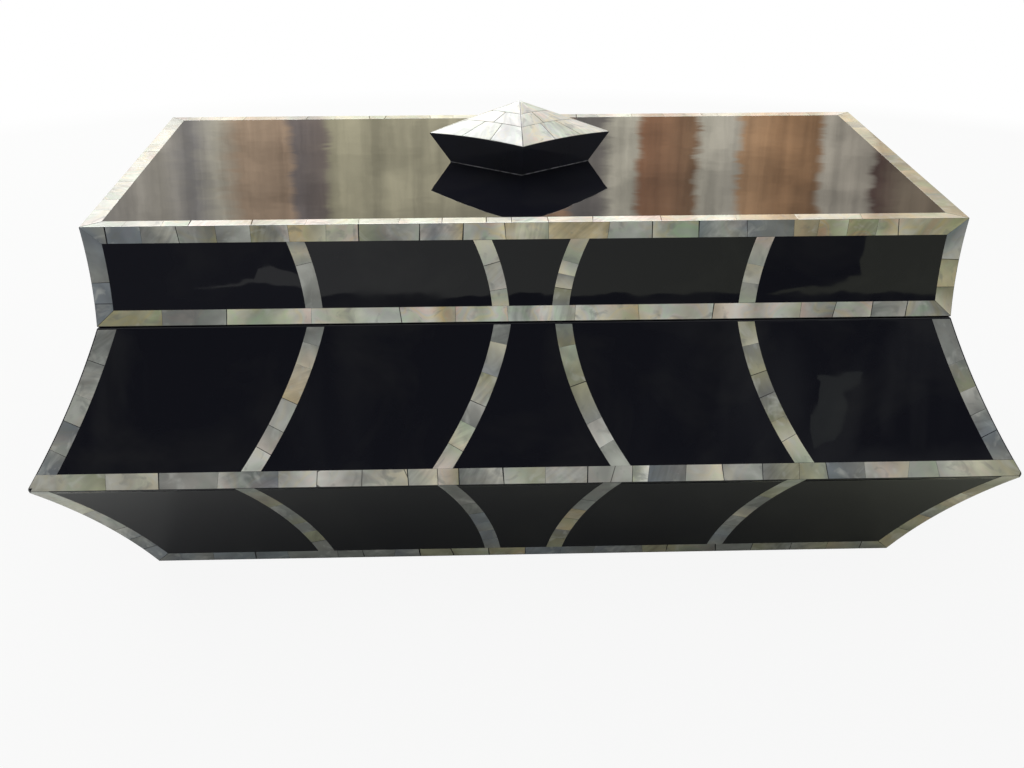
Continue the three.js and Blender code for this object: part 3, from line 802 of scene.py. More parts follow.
def lacquer(tree, shader, body):
    """Black lacquer rubbed to a mirror, in the body colour of that name."""
    polish = grouped(tree, "hand_polish", {
        "Place": object_place(tree), "Smear size": 0.045, "Wave size": 0.011})
    smear = polish["Smear"]
    clean, dusty = opaque(getattr(colours(), body)), opaque(colours().dust)
    base = blended(tree, times(tree, smear, 0.7), clean, dusty)
    attach(tree, shader, Base_Color=base, Roughness=calc(tree, "MULTIPLY_ADD", smear, 0.05, 0.018),
           IOR=LACQUER_IOR, Normal=bumped(tree, polish["Wave"], 0.00003))


def shell(tree, shader):
    """Mother-of-pearl tiles under clear gloss."""
    held = {key: add(tree, "ShaderNodeAttribute", attribute_name=f"tile_{key.lower()}").outputs[output]
            for key, output in (("Place", "Vector"), ("Tone", "Color"), ("Kind", "Vector"))}
    figure = grouped(tree, "shell_figure", held)
    attach(tree, shader, Base_Color=figure["Color"], Roughness=figure["Roughness"],
           Normal=bumped(tree, figure["Height"], 0.00003),
           Coat_Weight=1.0, Coat_Roughness=0.04, Coat_IOR=LACQUER_IOR, IOR=SHELL_IOR)


def velvet(tree, shader):
    """Short-pile velvet."""
    pile = grouped(tree, "fibre", {"Place": object_place(tree)})
    base = blended(tree, pile["Shade"], opaque(colours().velvet, 0.5), opaque(colours().velvet, 1.8))
    attach(tree, shader, Base_Color=base, Roughness=0.95, Specular_IOR_Level=0.1,
           Sheen_Weight=0.7, Sheen_Roughness=0.35, Sheen_Tint=opaque(colours().velvet_sheen),
           Normal=bumped(tree, pile["Height"], 0.0002))


def felt(tree, shader):
    """Pressed wool felt."""
    body = colours().felt
    wool = grouped(tree, "fibre", {
        "Place": object_place(tree), "Fibre size": 0.0009, "Patch size": 0.006})
    base = blended(tree, wool["Shade"], opaque(body, 0.5), opaque(body, 2.0))
    attach(tree, shader, Base_Color=base, Roughness=1.0, Specular_IOR_Level=0.05,
           Normal=bumped(tree, wool["Height"], 0.0004))


def metal(tree, shader, colour, smear_size):
    """Polished metal with light tarnish and hairlines, in the colours named after it."""
    polish = grouped(tree, "hand_polish", {
        "Place": object_place(tree), "Smear size": smear_size, "Wave size": smear_size})
    smear, line = polish["Smear"], polish["Hairline"]
    bright, dark = opaque(getattr(colours(), colour)), opaque(getattr(colours(), f"{colour}_dark"))
    base = blended(tree, times(tree, smear, 0.7), bright, dark)
    roughness = calc(tree, "MULTIPLY_ADD", smear, 0.25, calc(tree, "MULTIPLY_ADD", line, 0.1, 0.2))
    attach(tree, shader, Base_Color=base, Metallic=1.0, Roughness=roughness,
           Normal=bumped(tree, line, 0.000015))


def glue(tree, shader):
    """Grey filler squeezed out round the knob's foot."""
    body = colours().glue
    patch = noise(tree, object_place(tree), 260.0, 3.0, 0.6)
    base = blended(tree, ramp(tree, patch, 0.4, 0.7), opaque(body, 0.3), opaque(body, 3.0))
    attach(tree, shader, Base_Color=base, Roughness=ramp(tree, patch, 0.4, 0.7, 0.5, 0.15),
           Normal=bumped(tree, patch, 0.0004))


def seen_directly(tree):
    """1 for rays from the camera or from gloss and glass, and 0 for the light that falls on things."""
    path = add(tree, "ShaderNodeLightPath").outputs
    either = calc(tree, "MAXIMUM", path["Is Camera Ray"], path["Is Glossy Ray"])
    return calc(tree, "MAXIMUM", either, path["Is Transmission Ray"])


def pale_floor(tree, shader):
    """Pale floor that fades into the white backdrop, with a painted reflection: gloss alone sees it warmer
    at the right.
    """
    studio = bpy.context.scene.box_studio
    spot = object_place(tree)
    path = add(tree, "ShaderNodeLightPath").outputs
    x = add(tree, "ShaderNodeSeparateXYZ", {0: spot}).outputs["X"]
    # Painted reflection: warmer towards the right, for gloss rays alone.
    warm = times(tree, ramp(tree, x, *FLOOR_REFLECTION_WARMTH), path["Is Glossy Ray"])
    mirrored_tint = opaque(studio.floor_reflection_tint)
    grain = noise(tree, spot, 180.0, 3.0, 0.6)
    lit = blended(tree, grain, opaque(studio.floor, 0.98), opaque(studio.floor, 1.02))
    attach(tree, shader, Roughness=0.9, Specular_IOR_Level=0.2,
           Base_Color=tinted(tree, lit, mirrored_tint, times(tree, warm, LIT_WARMTH_SHARE)))
    apart = add(tree, "ShaderNodeVectorMath", {0: spot}, operation="LENGTH").outputs["Value"]
    fade = times(tree, ramp(tree, apart, studio.fade_start, studio.fade_end), seen_directly(tree))
    whitened = calc(tree, "MAXIMUM", fade, times(tree, path["Is Camera Ray"], studio.floor_white))
    backdrop = blended(tree, warm, opaque((1, 1, 1)), mirrored_tint)
    white = add(tree, "ShaderNodeEmission", {"Color": backdrop, "Strength": 1.0})
    both = add(tree, "ShaderNodeMixShader", {0: whitened, 1: shader.outputs[0], 2: white.outputs[0]})
    output = next(node for node in tree.nodes if node.type == "OUTPUT_MATERIAL")
    tree.links.new(both.outputs[0], output.inputs["Surface"])


def glow(tree, shader, colour, strength=1.0):
    """Makes a material give off a colour and return no light."""
    attach(tree, shader, Base_Color=(0.0, 0.0, 0.0, 1.0), Roughness=1.0, Specular_IOR_Level=0.0,
           Emission_Color=colour, Emission_Strength=strength)


def dark_card(tree, shader):
    """Dark glowing card with soft paler patches above and a paler left part, which only gloss sees: painted
    reflections.
    """
    studio = bpy.context.scene.box_studio
    spot = object_place(tree)
    parts = add(tree, "ShaderNodeSeparateXYZ", {0: spot}).outputs
    above = ramp(tree, parts["Z"], *PATCHES_ABOVE)
    aside = ramp(tree, calc(tree, "ABSOLUTE", parts["X"]), *PATCHES_ASIDE)
    # Paler patches and an upper strip: painted reflections of light shapes in a room.
    patch_noise = noise(tree, stretched(tree, spot, (1.0, 1.0, 0.55)), 10.0, 3.0, 0.55, 0.7)
    reflected_patches = times(tree, ramp(tree, patch_noise, 0.50, 0.64), times(tree, above, aside))
    strip = times(tree, ramp(tree, parts["Z"], *STRIP_ABOVE, 0.0, STRIP_PALENESS), aside)
    pale = calc(tree, "MAXIMUM", reflected_patches, strip)
    left = times(tree, ramp(tree, parts["X"], *LEFT_PART), calc(tree, "SUBTRACT", 1.0, above))
    shade = blended(tree, pale, opaque(studio.front_card_shade), opaque(studio.front_card_patch))
    glow(tree, shader, blended(tree, left, shade, opaque(studio.front_card_left_shade)))


def pale_card(tree, shader):
    """Plain pale glowing card, for gloss alone: a painted reflection."""
    glow(tree, shader, opaque(bpy.context.scene.box_studio.pale_card_shade))


def warm_card(tree, shader):
    """Glowing card in upright bands of cream, grey and brown, for gloss alone: a painted reflection of a
    room.
    """
    spot = object_place(tree)
    x = add(tree, "ShaderNodeSeparateXYZ", {0: spot}).outputs["X"]
    ragged = noise(tree, stretched(tree, spot, (20.0, 1.0, 190.0)), 1.0, 3.0, 0.6)
    drawn = calc(tree, "MULTIPLY_ADD", ragged, RAGGED_WIDTH, x)
    bands = colour_ramp(tree, ramp(tree, drawn, *CARD_REACH), CARD_BANDS)
    grain = noise(tree, stretched(tree, spot, (1.0, 1.0, 0.08)), 60.0, 4.0, 0.6, 0.4)
    patch = noise(tree, stretched(tree, spot, (1.0, 1.0, 1.6)), 16.0, 3.0, 0.55, 0.6)
    streaked = tinted(tree, bands, grey(tree, ramp(tree, grain, 0.35, 0.65, 0.80, 1.12)))
    patched = tinted(tree, streaked, grey(tree, ramp(tree, patch, 0.32, 0.62, 0.78, 1.12)))
    glow(tree, shader, patched, WARM_CARD_STRENGTH)


# What makes each material, and what it is told.
MATERIALS = {
    "mirror_lacquer": (lacquer, "lacquer"),
    "knob_lacquer": (lacquer, "knob_lacquer"),
    "shell_tiles": (shell,),
    "velvet_pile": (velvet,),
    "wool_felt": (felt,),
    "polished_brass": (metal, "brass", 0.006),
    "polished_steel": (metal, "steel", 0.004),
    "glue_line": (glue,),
    "pale_floor": (pale_floor,),
    "dark_cloth": (dark_card,),
    "pale_card": (pale_card,),
    "warm_card": (warm_card,),
}


def material_named(name):
    """The material of that name, made on first use."""
    if name in bpy.data.materials:
        return bpy.data.materials[name]
    material = bpy.data.materials.new(name)
    material.use_nodes = True
    tree = material.node_tree
    tree.nodes.clear()
    shader = add(tree, "ShaderNodeBsdfPrincipled")
    add(tree, "ShaderNodeOutputMaterial", {"Surface": shader.outputs[0]})
    make, *told = MATERIALS[name]
    make(tree, shader, *told)
    return material


# Shell tiles


def tone_along(word, share):
    """The tone at a share of a tile's length."""
    spot = share * (len(word) - 1)
    i = min(int(spot), len(word) - 2) if len(word) > 1 else 0
    after = word[min(i + 1, len(word) - 1)]
    return [lerp(a, b, spot - i) for a, b in zip(TONES[word[i]], TONES[after])]


class TileBook:
    """Tiles gathered into one mesh, each a thin closed plate with eased edges."""

    def __init__(self, kind, number):
        self.rng = random.Random(SEEDS[kind] + number)
        self.points = []
        self.polygons = []
        self.places = []
        self.tones = []
        self.kinds = []

    def steps(self, size):
        """Shares across a tile: its eased edge, and a step every millimetre or so between."""
        s = sizes()
        edge = min(s.tile_bevel / size, TILE_EDGE_LIMIT)
        count = max(2, math.ceil(size / s.tile_step))
        inner = [lerp(edge, 1 - edge, i / count) for i in range(count + 1)]
        return [0.0, *inner, 1.0]

    def tile(self, point, long_size, wide_size, tone, cracked=False, colour_play=1.0):
        """Adds a tile from point(u, v, depth), with u along it and v across it."""
        s = sizes()
        rng = self.rng
        us = self.steps(long_size)
        vs = self.steps(wide_size)
        turn = Matrix.Rotation(rng.uniform(-FIGURE_TURN, FIGURE_TURN), 3, "Z")
        shift = Vector([rng.uniform(0, FIGURE_SHIFT) for _ in range(3)])
        shade = rng.uniform(*SHADE_RANGE)
        play = colour_play * rng.uniform(*PLAY_RANGE) * (DARK_PLAY_SHARE if tone[0] in DARK_TONES else 1)
        streaks = 1.0 if rng.random() < STREAKED_SHARE else FAINT_STREAKS
        kind = (float(cracked), play, streaks)
        first = len(self.points)
        for base_depth in (0.0, s.tile_thickness):
            for i, u in enumerate(us):
                colour = [min(c * shade, 1.0) for c in tone_along(tone, u)] + [1.0]
                for j, v in enumerate(vs):
                    edge = i in (0, len(us) - 1) or j in (0, len(vs) - 1)
                    depth = base_depth if base_depth > 0 or not edge else s.tile_bevel_drop
                    self.points.append(point(u, v, depth))
                    self.places.append(turn @ Vector((u * long_size, v * wide_size, 0)) + shift)
                    self.tones.append(colour)
                    self.kinds.append(kind)
        self.plate_faces(first, len(us), len(vs))

    def plate_faces(self, first, rows, columns):
        """The faces of a plate whose upper points come first, row by row, and then its lower ones."""
        below = rows * columns

        def at(i, j, layer=0):
            return first + layer * below + i * columns + j

        for i in range(rows - 1):
            for j in range(columns - 1):
                quad = (at(i, j), at(i + 1, j), at(i + 1, j + 1), at(i, j + 1))
                self.polygons.append(quad)
                self.polygons.append(tuple(p + below for p in reversed(quad)))
        rim = [(i, 0) for i in range(rows)]
        rim += [(rows - 1, j) for j in range(1, columns)]
        rim += [(i, columns - 1) for i in range(rows - 2, -1, -1)]
        rim += [(0, j) for j in range(columns - 2, 0, -1)]
        for (i, j), (m, n) in zip(rim, rim[1:] + rim[:1]):
            self.polygons.append((at(m, n), at(i, j), at(i, j, 1), at(m, n, 1)))

    def finish(self, name, body, *nodes):
        mesh = bpy.data.meshes.new(name)
        mesh.from_pydata(self.points, [], self.polygons)
        for label, kind, key, values in (
                ("tile_place", "FLOAT_VECTOR", "vector", self.places),
                ("tile_tone", "FLOAT_COLOR", "color", self.tones),
                ("tile_kind", "FLOAT_VECTOR", "vector", self.kinds)):
            layer = mesh.attributes.new(label, kind, "POINT")
            layer.data.foreach_set(key, [c for value in values for c in value])
        bm = bmesh.new()
        bm.from_mesh(mesh)
        bmesh.ops.recalc_face_normals(bm, faces=bm.faces)
        bm.to_mesh(mesh)
        bm.free()
        piece = show(shaded(mesh, TILE_SHARP_ANGLE), name, body, "shell", "shell_tiles", *nodes)
        weigh = piece.modifiers.new("flat_tiles", "WEIGHTED_NORMAL")
        weigh.keep_sharp = True
        weigh.weight = FLAT_FACE_WEIGHT


class Strip:
    """A run of tiles on a face. Lines across it are pairs: where they cross its two edges."""

    def __init__(self, side, face, low, high, along_wall):
        self.side = side
        self.face = face
        self.low = low
        self.high = high
        self.along_wall = along_wall

    def spot(self, s, v):
        """Face coordinates at s along the strip and v across it."""
        if self.along_wall:
            return s, lerp(self.low(s), self.high(s), v)
        return lerp(self.low(s), self.high(s), v), s

    def squared(self, middle):
        """A line square to the strip where it crosses the strip's middle."""
        step = sizes().tile_seam
        half = (self.high(middle) - self.low(middle)) / 2
        here = self.low(middle) + self.high(middle)
        slope = (self.low(middle + step) + self.high(middle + step) - here) / 2 / step
        shift = slope * half / (1 + slope * slope)
        return middle + shift, middle - shift

    def lay(self, book, lines, tones, cracked=(), seam_share=1.0, colour_play=1.0):
        """Tiles between the lines, with open seams and tight ones among them."""
        seam = sizes().tile_seam / 2 * seam_share
        tip = sum(lines[0]) / 2
        width = abs(self.high(tip) - self.low(tip))
        gaps = []
        for line in lines:
            opened = seam * book.rng.choice(SEAM_WIDTH_SHARES)
            gaps.append([opened * book.rng.uniform(*SEAM_END_RANGE) for _ in line])
        for i, (start, end) in enumerate(zip(lines, lines[1:])):
            size = (sum(end) - sum(start)) / 2

            def point(u, v, depth, i=i, start=start, end=end):
                a = lerp(start[0] + gaps[i][0], start[1] + gaps[i][1], v)
                b = lerp(end[0] - gaps[i + 1][0], end[1] - gaps[i + 1][1], v)
                x, d = self.spot(lerp(a, b, u), v)
                spot = self.face.below(d, depth)
                return self.side.place(x, spot.x, spot.y)

            book.tile(point, size, width, tones[i], i in cracked, colour_play)


def slanted(book, middle):
    """A seam line that is slightly slanted."""
    slant = book.rng.gauss(0, SLANT_SHARE) * sizes().strip_width
    return middle - slant, middle + slant


def seams_between(book, start, end, usual):
    """Seam lines from one end line to another, a usual tile apart, with a hand's unevenness."""
    span = (sum(end) - sum(start)) / 2
    count = max(1, round(span / usual))
    lines = [start]
    for i in range(1, count):
        share = (i + book.rng.uniform(-SHIFT_SHARE, SHIFT_SHARE)) / count
        lines.append(slanted(book, sum(start) / 2 + share * span))
    return [*lines, end]


def seams_at(book, start, end, shares, half):
    """Seam lines at shares of a half length from the middle."""
    return [start, *(slanted(book, share * half) for share in shares), end]


def some_tones(book, count, weights=BORDER_WEIGHTS):
    return [book.rng.choice(weights) + book.rng.choice(weights) for _ in range(count)]


def fixed(value):
    return lambda s: value


class RibPlan:
    """A rib's centre line, which starts at the waist or the foot and leans outwards as it goes."""

    def __init__(self, face, near, far, start, end, lean_share):
        self.face = face
        self.near = near
        self.far = far
        self.start = start
        self.end = end
        self.lean_share = lean_share

    def centre(self, d):
        t = (self.face.height(d) - self.near) / (self.far - self.near)
        return lerp(self.start, self.end, self.lean_share * t + (1 - self.lean_share) * t * t)

    def edge(self, d, outer):
        step = self.face.length / CURVE_STEPS
        slope = (self.centre(d + step) - self.centre(d - step)) / (2 * step)
        return self.centre(d) + outer * math.hypot(1, slope) * sizes().rib_width / 2


def rib(lid, flare, foot):
    """A rib's three stretches: where each starts and ends along the wall, and its lean share."""
    return {"lid": lid, "flare": flare, "foot": foot}


# The front's ribs, a little uneven as they were cut by hand, from left to right.
FRONT_RIBS = (
    rib((-0.0785, -0.0838, 0.0), (-0.0784, -0.1030, 0.54), (-0.0809, -0.1054, 0.6)),
    rib((-0.0098, -0.0166, 0.0), (-0.0094, -0.0324, 0.38), (-0.0136, -0.0309, 0.4)),
    rib((0.0119, 0.0188, 0.0), (0.0133, 0.0338, 0.24), (0.0113, 0.0307, 0.48)),
    rib((0.0812, 0.0864, 0.0), (0.0815, 0.1026, 0.33), (0.0770, 0.0995, 0.47)),
)
INNER_RIB = rib((0.0112, 0.0177, 0.0), (0.0112, 0.032, 0.35), (0.0123, 0.032, 0.5))
OUTER_RIB = rib((0.0799, 0.0851, 0.0), (0.0799, 0.1027, 0.35), (0.0792, 0.1027, 0.5))
END_RIB = rib((0.028, 0.035, 0.0), (0.028, 0.0485, 0.35), (0.0294, 0.0485, 0.5))


def mirrored(plan):
    return {section: (-start, -end, lean) for section, (start, end, lean) in plan.items()}


def ribs_of(side):
    if side.name == "front":
        return FRONT_RIBS
    if side.name == "back":
        return (mirrored(OUTER_RIB), mirrored(INNER_RIB), INNER_RIB, OUTER_RIB)
    return (mirrored(END_RIB), END_RIB)


# The tiles of the front's ribs, from left to right, and of its two corner strips: the seams between
# them as distances up the face, and their tones from the lowest up.
FRONT_RIB_TILES = {
    "lid": (
        ((0.0236,), "es sce"), ((0.0127, 0.0229), "cns s sc"),
        ((0.0129, 0.0182, 0.0232), "eo ce cs nc"), ((0.0140, 0.0213), "ns sc sr")),
    "flare": (
        ((0.0138, 0.0219, 0.0320, 0.0447, 0.0530), "w rs s gc ce e"),
        ((0.0140, 0.0225, 0.0301, 0.0408, 0.0525), "rn cn es so bc e"),
        ((0.0144, 0.0231, 0.0368, 0.0511), "s ws eo on oe"),
        ((0.0156, 0.0228, 0.0318, 0.0400, 0.0506), "nc co oe eo oe co")),
    "foot": (
        ((0.0135, 0.0215, 0.0290, 0.0365, 0.0450), "e o e oe e oe"),
        ((0.0130, 0.0200, 0.0270, 0.0350, 0.0440), "eb b eb b e e"),
        ((0.0125, 0.0195, 0.0290, 0.0370, 0.0455), "o oe go g e e"),
        ((0.0130, 0.0210, 0.0285, 0.0375, 0.0460), "eb be e ce e on")),
}
FRONT_CORNER_TILES = {
    "lid": (((0.0090, 0.0172), "b b eb"), ((0.0117, 0.0226), "co go sb")),
    "flare": (
        ((0.0140, 0.0247, 0.0345, 0.0471), "be sb s se e"),
        ((0.0160, 0.0242, 0.0328, 0.0430), "eb be es oe e")),
    "foot": (
        ((0.0110, 0.0190, 0.0270, 0.0420), "b be bs s cs"),
        ((0.0150, 0.0260, 0.0350, 0.0450, 0.0540), "go og eo gc go oc")),
}


def corner_edges(side, face, line):
    """The outer and inner edge of the strip along a wall's right end, at a distance up its face."""
    step = face.length / CURVE_STEPS

    def outer(d):
        return side.along + face.outset(d) - line

    def inner(d):
        slope = (face.outset(d + step) - face.outset(d - step)) / (2 * step)
        return side.along + face.outset(d) - (line + sizes().strip_width) * math.hypot(1, slope)

    return outer, inner


def lay_upright(book, strip, start, end, usual, tiles):
    """An upright strip with seams square to it, of the given tiles or of random ones."""
    if tiles:
        seams, words = tiles
        tones = words.split()
    else:
        seams = [sum(line) / 2 for line in seams_between(book, start, end, usual)[1:-1]]
        tones = some_tones(book, len(seams) + 1, UPRIGHT_WEIGHTS)
    lines = [start, *(strip.squared(d) for d in seams), end]
    strip.lay(book, lines, tones, seam_share=UPRIGHT_SEAM_SHARE, colour_play=UPRIGHT_PLAY)


def lay_corners(book, side, section, face, lower, upper, line, usual):
    """Both corner strips of a section. Lower and upper give their ends at the outer and inner edge."""
    outer, inner = corner_edges(side, face, line)
    for number, sign in enumerate((-1, 1)):
        strip = Strip(side, face, lambda d: sign * outer(d), lambda d: sign * inner(d), False)
        tiles = FRONT_CORNER_TILES[section][number] if side.is_front else None
        lay_upright(book, strip, lower, upper, usual, tiles)


def lay_ribs(book, side, section, face, near, far, low, high, usual):
    """The ribs of a section, which lean out from the near height to the far one."""
    for number, plan in enumerate(ribs_of(side)):
        centre = RibPlan(face, near, far, *plan[section])
        strip = Strip(side, face, lambda d: centre.edge(d, -1), lambda d: centre.edge(d, 1), False)
        tiles = FRONT_RIB_TILES[section][number] if side.is_front else None
        lay_upright(book, strip, (low, low), (high, high), usual, tiles)


def lay_border(book, side, face, name, low, high, mitred="", weights=BORDER_WEIGHTS, colour_play=1.0,
               cracked=(), notch=None):
    """A strip along the wall from one corner to the other, mitred from its low or its high edge."""
    s = sizes()
    outer, inner = corner_edges(side, face, s.arris_line)
    end = (
        inner(low) if mitred == "high" else outer(low),
        inner(high) if mitred == "low" else outer(high))
    start = (-end[0], -end[1])
    if side.is_front:
        tip = sum(end) / 2 + (s.strip_width / 2 if mitred else 0)
        lines = seams_at(book, start, end, FRONT_SEAM_SHARES[name], tip)
        tones = FRONT_TONES[name].split()
    else:
        lines = seams_between(book, start, end, s.tile_length)
        tones = some_tones(book, len(lines), weights)
    if notch:
        lay_notched(book, side, face, lines, low, high, *notch)
    else:
        strip = Strip(side, face, fixed(low), fixed(high), True)
        strip.lay(book, lines, tones, cracked, colour_play=colour_play)


def lay_notched(book, side, face, lines, low, high, spans, notch_top):
    """A strip along the wall whose tiles start higher where something is let in."""
    edges = [x for span in spans for x in span]
    near = sizes().strip_width
    kept = [line for line in lines[1:-1] if all(abs(sum(line) / 2 - x) > near for x in edges)]
    lines = sorted([lines[0], *kept, *((x, x) for x in edges), lines[-1]], key=sum)
    for start, end in zip(lines, lines[1:]):
        middle = (sum(start) + sum(end)) / 4
        bottom = notch_top if any(a < middle < b for a, b in spans) else low
        strip = Strip(side, face, fixed(bottom), fixed(high), True)
        strip.lay(book, [start, end], some_tones(book, 1))


def leaf_notch(side, face):
    """Where the hinge leaves cut into the lid's lower strip at the back, on the unrolled face."""
    if side.name != "back":
        return None
    s = sizes()
    pockets = hinge_pockets("lid")
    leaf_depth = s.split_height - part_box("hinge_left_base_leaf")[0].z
    top = min(max(high.z for low, high in pockets), s.lid_foot + leaf_depth + s.pocket_gap)
    return [(-high.x, -low.x) for low, high in pockets], face.at_height(top) + s.tile_seam / 2


# Operators


class BOX_OT_base_carcase(bpy.types.Operator):
    """Lacquered base with its hollow sides, rounded rim and well"""

    bl_idname = "lacquer_box.base_carcase"
    bl_label = "Base carcase"

    def execute(self, context):
        s = sizes()
        faces = wall_faces()
        foot = faces["foot"].line(s.lacquer_drop)
        flare = faces["flare"].line(s.lacquer_drop)
        lip_start = bisect.bisect_right(faces["flare"].run, faces["flare"].length - s.lip_radius)
        outline = eased([
            *plain(foot[:-1]),
            (faces["foot"].high - Vector((s.lacquer_drop * 2, 0)), s.arris_radius),
            *plain(flare[1:lip_start]),
            (Vector((flare[-1].x, s.split_height)), s.lip_radius),
            (Vector((-s.well_inset, s.split_height)), s.arris_radius),
            (Vector((-s.well_inset, s.floor_top)), 0),
        ])
        mesh = loft("base_carcase", [carcase_ring(p.x, p.y) for p in outline])
        mesh = carved(mesh, hinge_pockets("base"))
        walls = [f"base_wall_{side.name}" for side in four_sides()]
        show(mesh, "base_carcase", "base", "black_lacquer", "mirror_lacquer", *walls, "base_floor")
        return {"FINISHED"}


class BOX_OT_lid_carcase(bpy.types.Operator):
    """Lacquered lid with its slightly hollow sides, flat top and hollow inside"""

    bl_idname = "lacquer_box.lid_carcase"
    bl_label = "Lid carcase"

    def execute(self, context):
        s = sizes()
        curve = wall_faces()["lid"].line(s.lacquer_drop)
        top = s.box_height - s.lacquer_drop
        outline = eased([
            (Vector((-s.well_inset, s.board_under)), 0),
            (Vector((-s.well_inset, s.lid_foot)), s.arris_radius),
            (Vector((curve[0].x, s.lid_foot)), s.arris_radius),
            *plain(curve[2:-2]),
            (Vector((-s.lacquer_drop, top)), s.arris_radius),
            (Vector((-s.strip_width / 2, top)), 0),
            (Vector((-s.half_depth / 2, top)), 0),
        ])
        mesh = loft("lid_carcase", [carcase_ring(p.x, p.y) for p in outline])
        mesh = carved(mesh, hinge_pockets("lid"))
        walls = [f"lid_wall_{side.name}" for side in four_sides()]
        show(mesh, "lid_carcase", "lid", "black_lacquer", "mirror_lacquer", *walls, "lid_panel")
        return {"FINISHED"}


class BOX_OT_lid_shell(bpy.types.Operator):
    """Shell tiles on the lid's sides and round its top"""

    bl_idname = "lacquer_box.lid_shell"
    bl_label = "Lid shell"

    def execute(self, context):
        s = sizes()
        faces = wall_faces()
        face = faces["lid"]
        low = s.edge_line
        sill = low + s.sill_width
        high = face.length - s.arris_line
        head = high - s.strip_width
        for number, side in enumerate(four_sides()):
            book = TileBook("lid", number)
            lay_border(book, side, face, "sill", low, sill, "low", notch=leaf_notch(side, face))
            lay_border(book, side, face, "head", head, high, "high")
            lay_corners(book, side, "lid", face, (low, sill), (high, head), s.arris_line, s.tile_length)
            lay_ribs(book, side, "lid", face, s.lid_foot, face.height(head), sill, head, s.tile_length)
            book.finish(f"lid_tiles_{side.name}", "lid", f"shell_lid_{side.name}")

            book = TileBook("top", number)
            lay_border(book, side, faces["top"], "top", s.arris_line, s.arris_line + s.strip_width,
                       weights=TOP_WEIGHTS[side.name])
            book.finish(f"top_tiles_{side.name}", "lid", f"shell_top_{side.name}")
        return {"FINISHED"}


class BOX_OT_base_shell(bpy.types.Operator):
    """Shell tiles above and below the widest edge"""

    bl_idname = "lacquer_box.base_shell"
    bl_label = "Base shell"

    def execute(self, context):
        s = sizes()
        faces = wall_faces()
        for number, side in enumerate(four_sides()):
            face = faces["flare"]
            band = s.arris_line + s.band_width
            high = face.length - s.rim_lip
            book = TileBook("flare", number)
            lay_border(book, side, face, "band", s.arris_line, band, colour_play=BASE_PLAY,
                       cracked=CRACKED_TILES)
            lay_corners(book, side, "flare", face, (band, band), (high, high), s.flare_arris_line,
                        s.tile_length)
            lay_ribs(book, side, "flare", face, s.split_height, face.height(band), band, high,
                     s.rib_tile_length)
            book.finish(f"flare_tiles_{side.name}", "base", f"shell_flare_{side.name}")

            face = faces["foot"]
            low = s.edge_line
            sill = low + s.foot_strip_width
            high = face.length - s.arris_line
            book = TileBook("foot", number)
            lay_border(book, side, face, "foot", low, sill, "low", colour_play=BASE_PLAY)
            lay_corners(book, side, "foot", face, (low, sill), (high, high), s.arris_line,
                        s.rib_tile_length)
            lay_ribs(book, side, "foot", face, face.height(sill), s.widest_height, sill, high,
                     s.foot_tile_length)
            book.finish(f"foot_tiles_{side.name}", "base", f"shell_foot_{side.name}")
        return {"FINISHED"}


# Knob


# The knob's facets with the signs of their x and y. Each has three courses of tiles, from the rim to
# the apex, whose seams are shares of the facet's width.
KNOB_FACETS = {"front_left": (-1, -1), "front_right": (1, -1), "back_left": (-1, 1), "back_right": (1, 1)}
KNOB_COURSE_SHARES = (0.0, 0.41, 0.69, 0.995)
KNOB_SEAM_SHARES = {
    "front_right": ((0.36, 0.66), (0.42,), ()),
    "front_left": ((0.34, 0.64), (0.5,), ()),
    "back_left": ((0.3, 0.7), (0.5,), ()),
    "back_right": ((0.38, 0.62), (0.45,), ()),
}
# Tones of each facet's courses. The front right facet's tones are lightened and the front left's darkened:
# painted light and painted shade for how the soft light falls on them.
KNOB_TONES_WITH_PAINTED_LIGHT = {
    "front_right": ("rcw wc cw", "wc cw", "wc"),
    "front_left": ("se ns ns", "s sc", "s"),
    "back_left": ("cs sc ws", "sc c", "c"),
    "back_right": ("sc c cs", "cs sc", "w"),
}


def knob_spot(x_share, y_share, height_share):
    """A point of the knob's cap: shares of the rim's half diagonals, then up to the apex."""
    k = bpy.context.scene.knob_sizes
    dip = k.front_rim_height - k.side_rim_height
    rim_height = k.front_rim_height - dip * x_share * x_share
    z = lerp(rim_height, k.height, height_share)
    flat = k.rim_half * (1 - height_share)
    return Vector((x_share * flat, y_share * flat, sizes().box_height + z))


def diamond(steps):
    corners = [Vector((1, 0)), Vector((0, 1)), Vector((-1, 0)), Vector((0, -1))]
    ring = []
    for a, b in zip(corners, corners[1:] + corners[:1]):
        ring += [a.lerp(b, i / steps) for i in range(steps)]
    return ring


# The most of a course that the arris seam takes near the apex, how far out a facet's middle lies as a
# share of the rim's half diagonal, and the bead's height as a share of its radius.
KNOB_EDGE_LIMIT = 0.45
FACET_MIDDLE_SHARE = 0.7
BEAD_HEIGHT_SHARE = 0.6


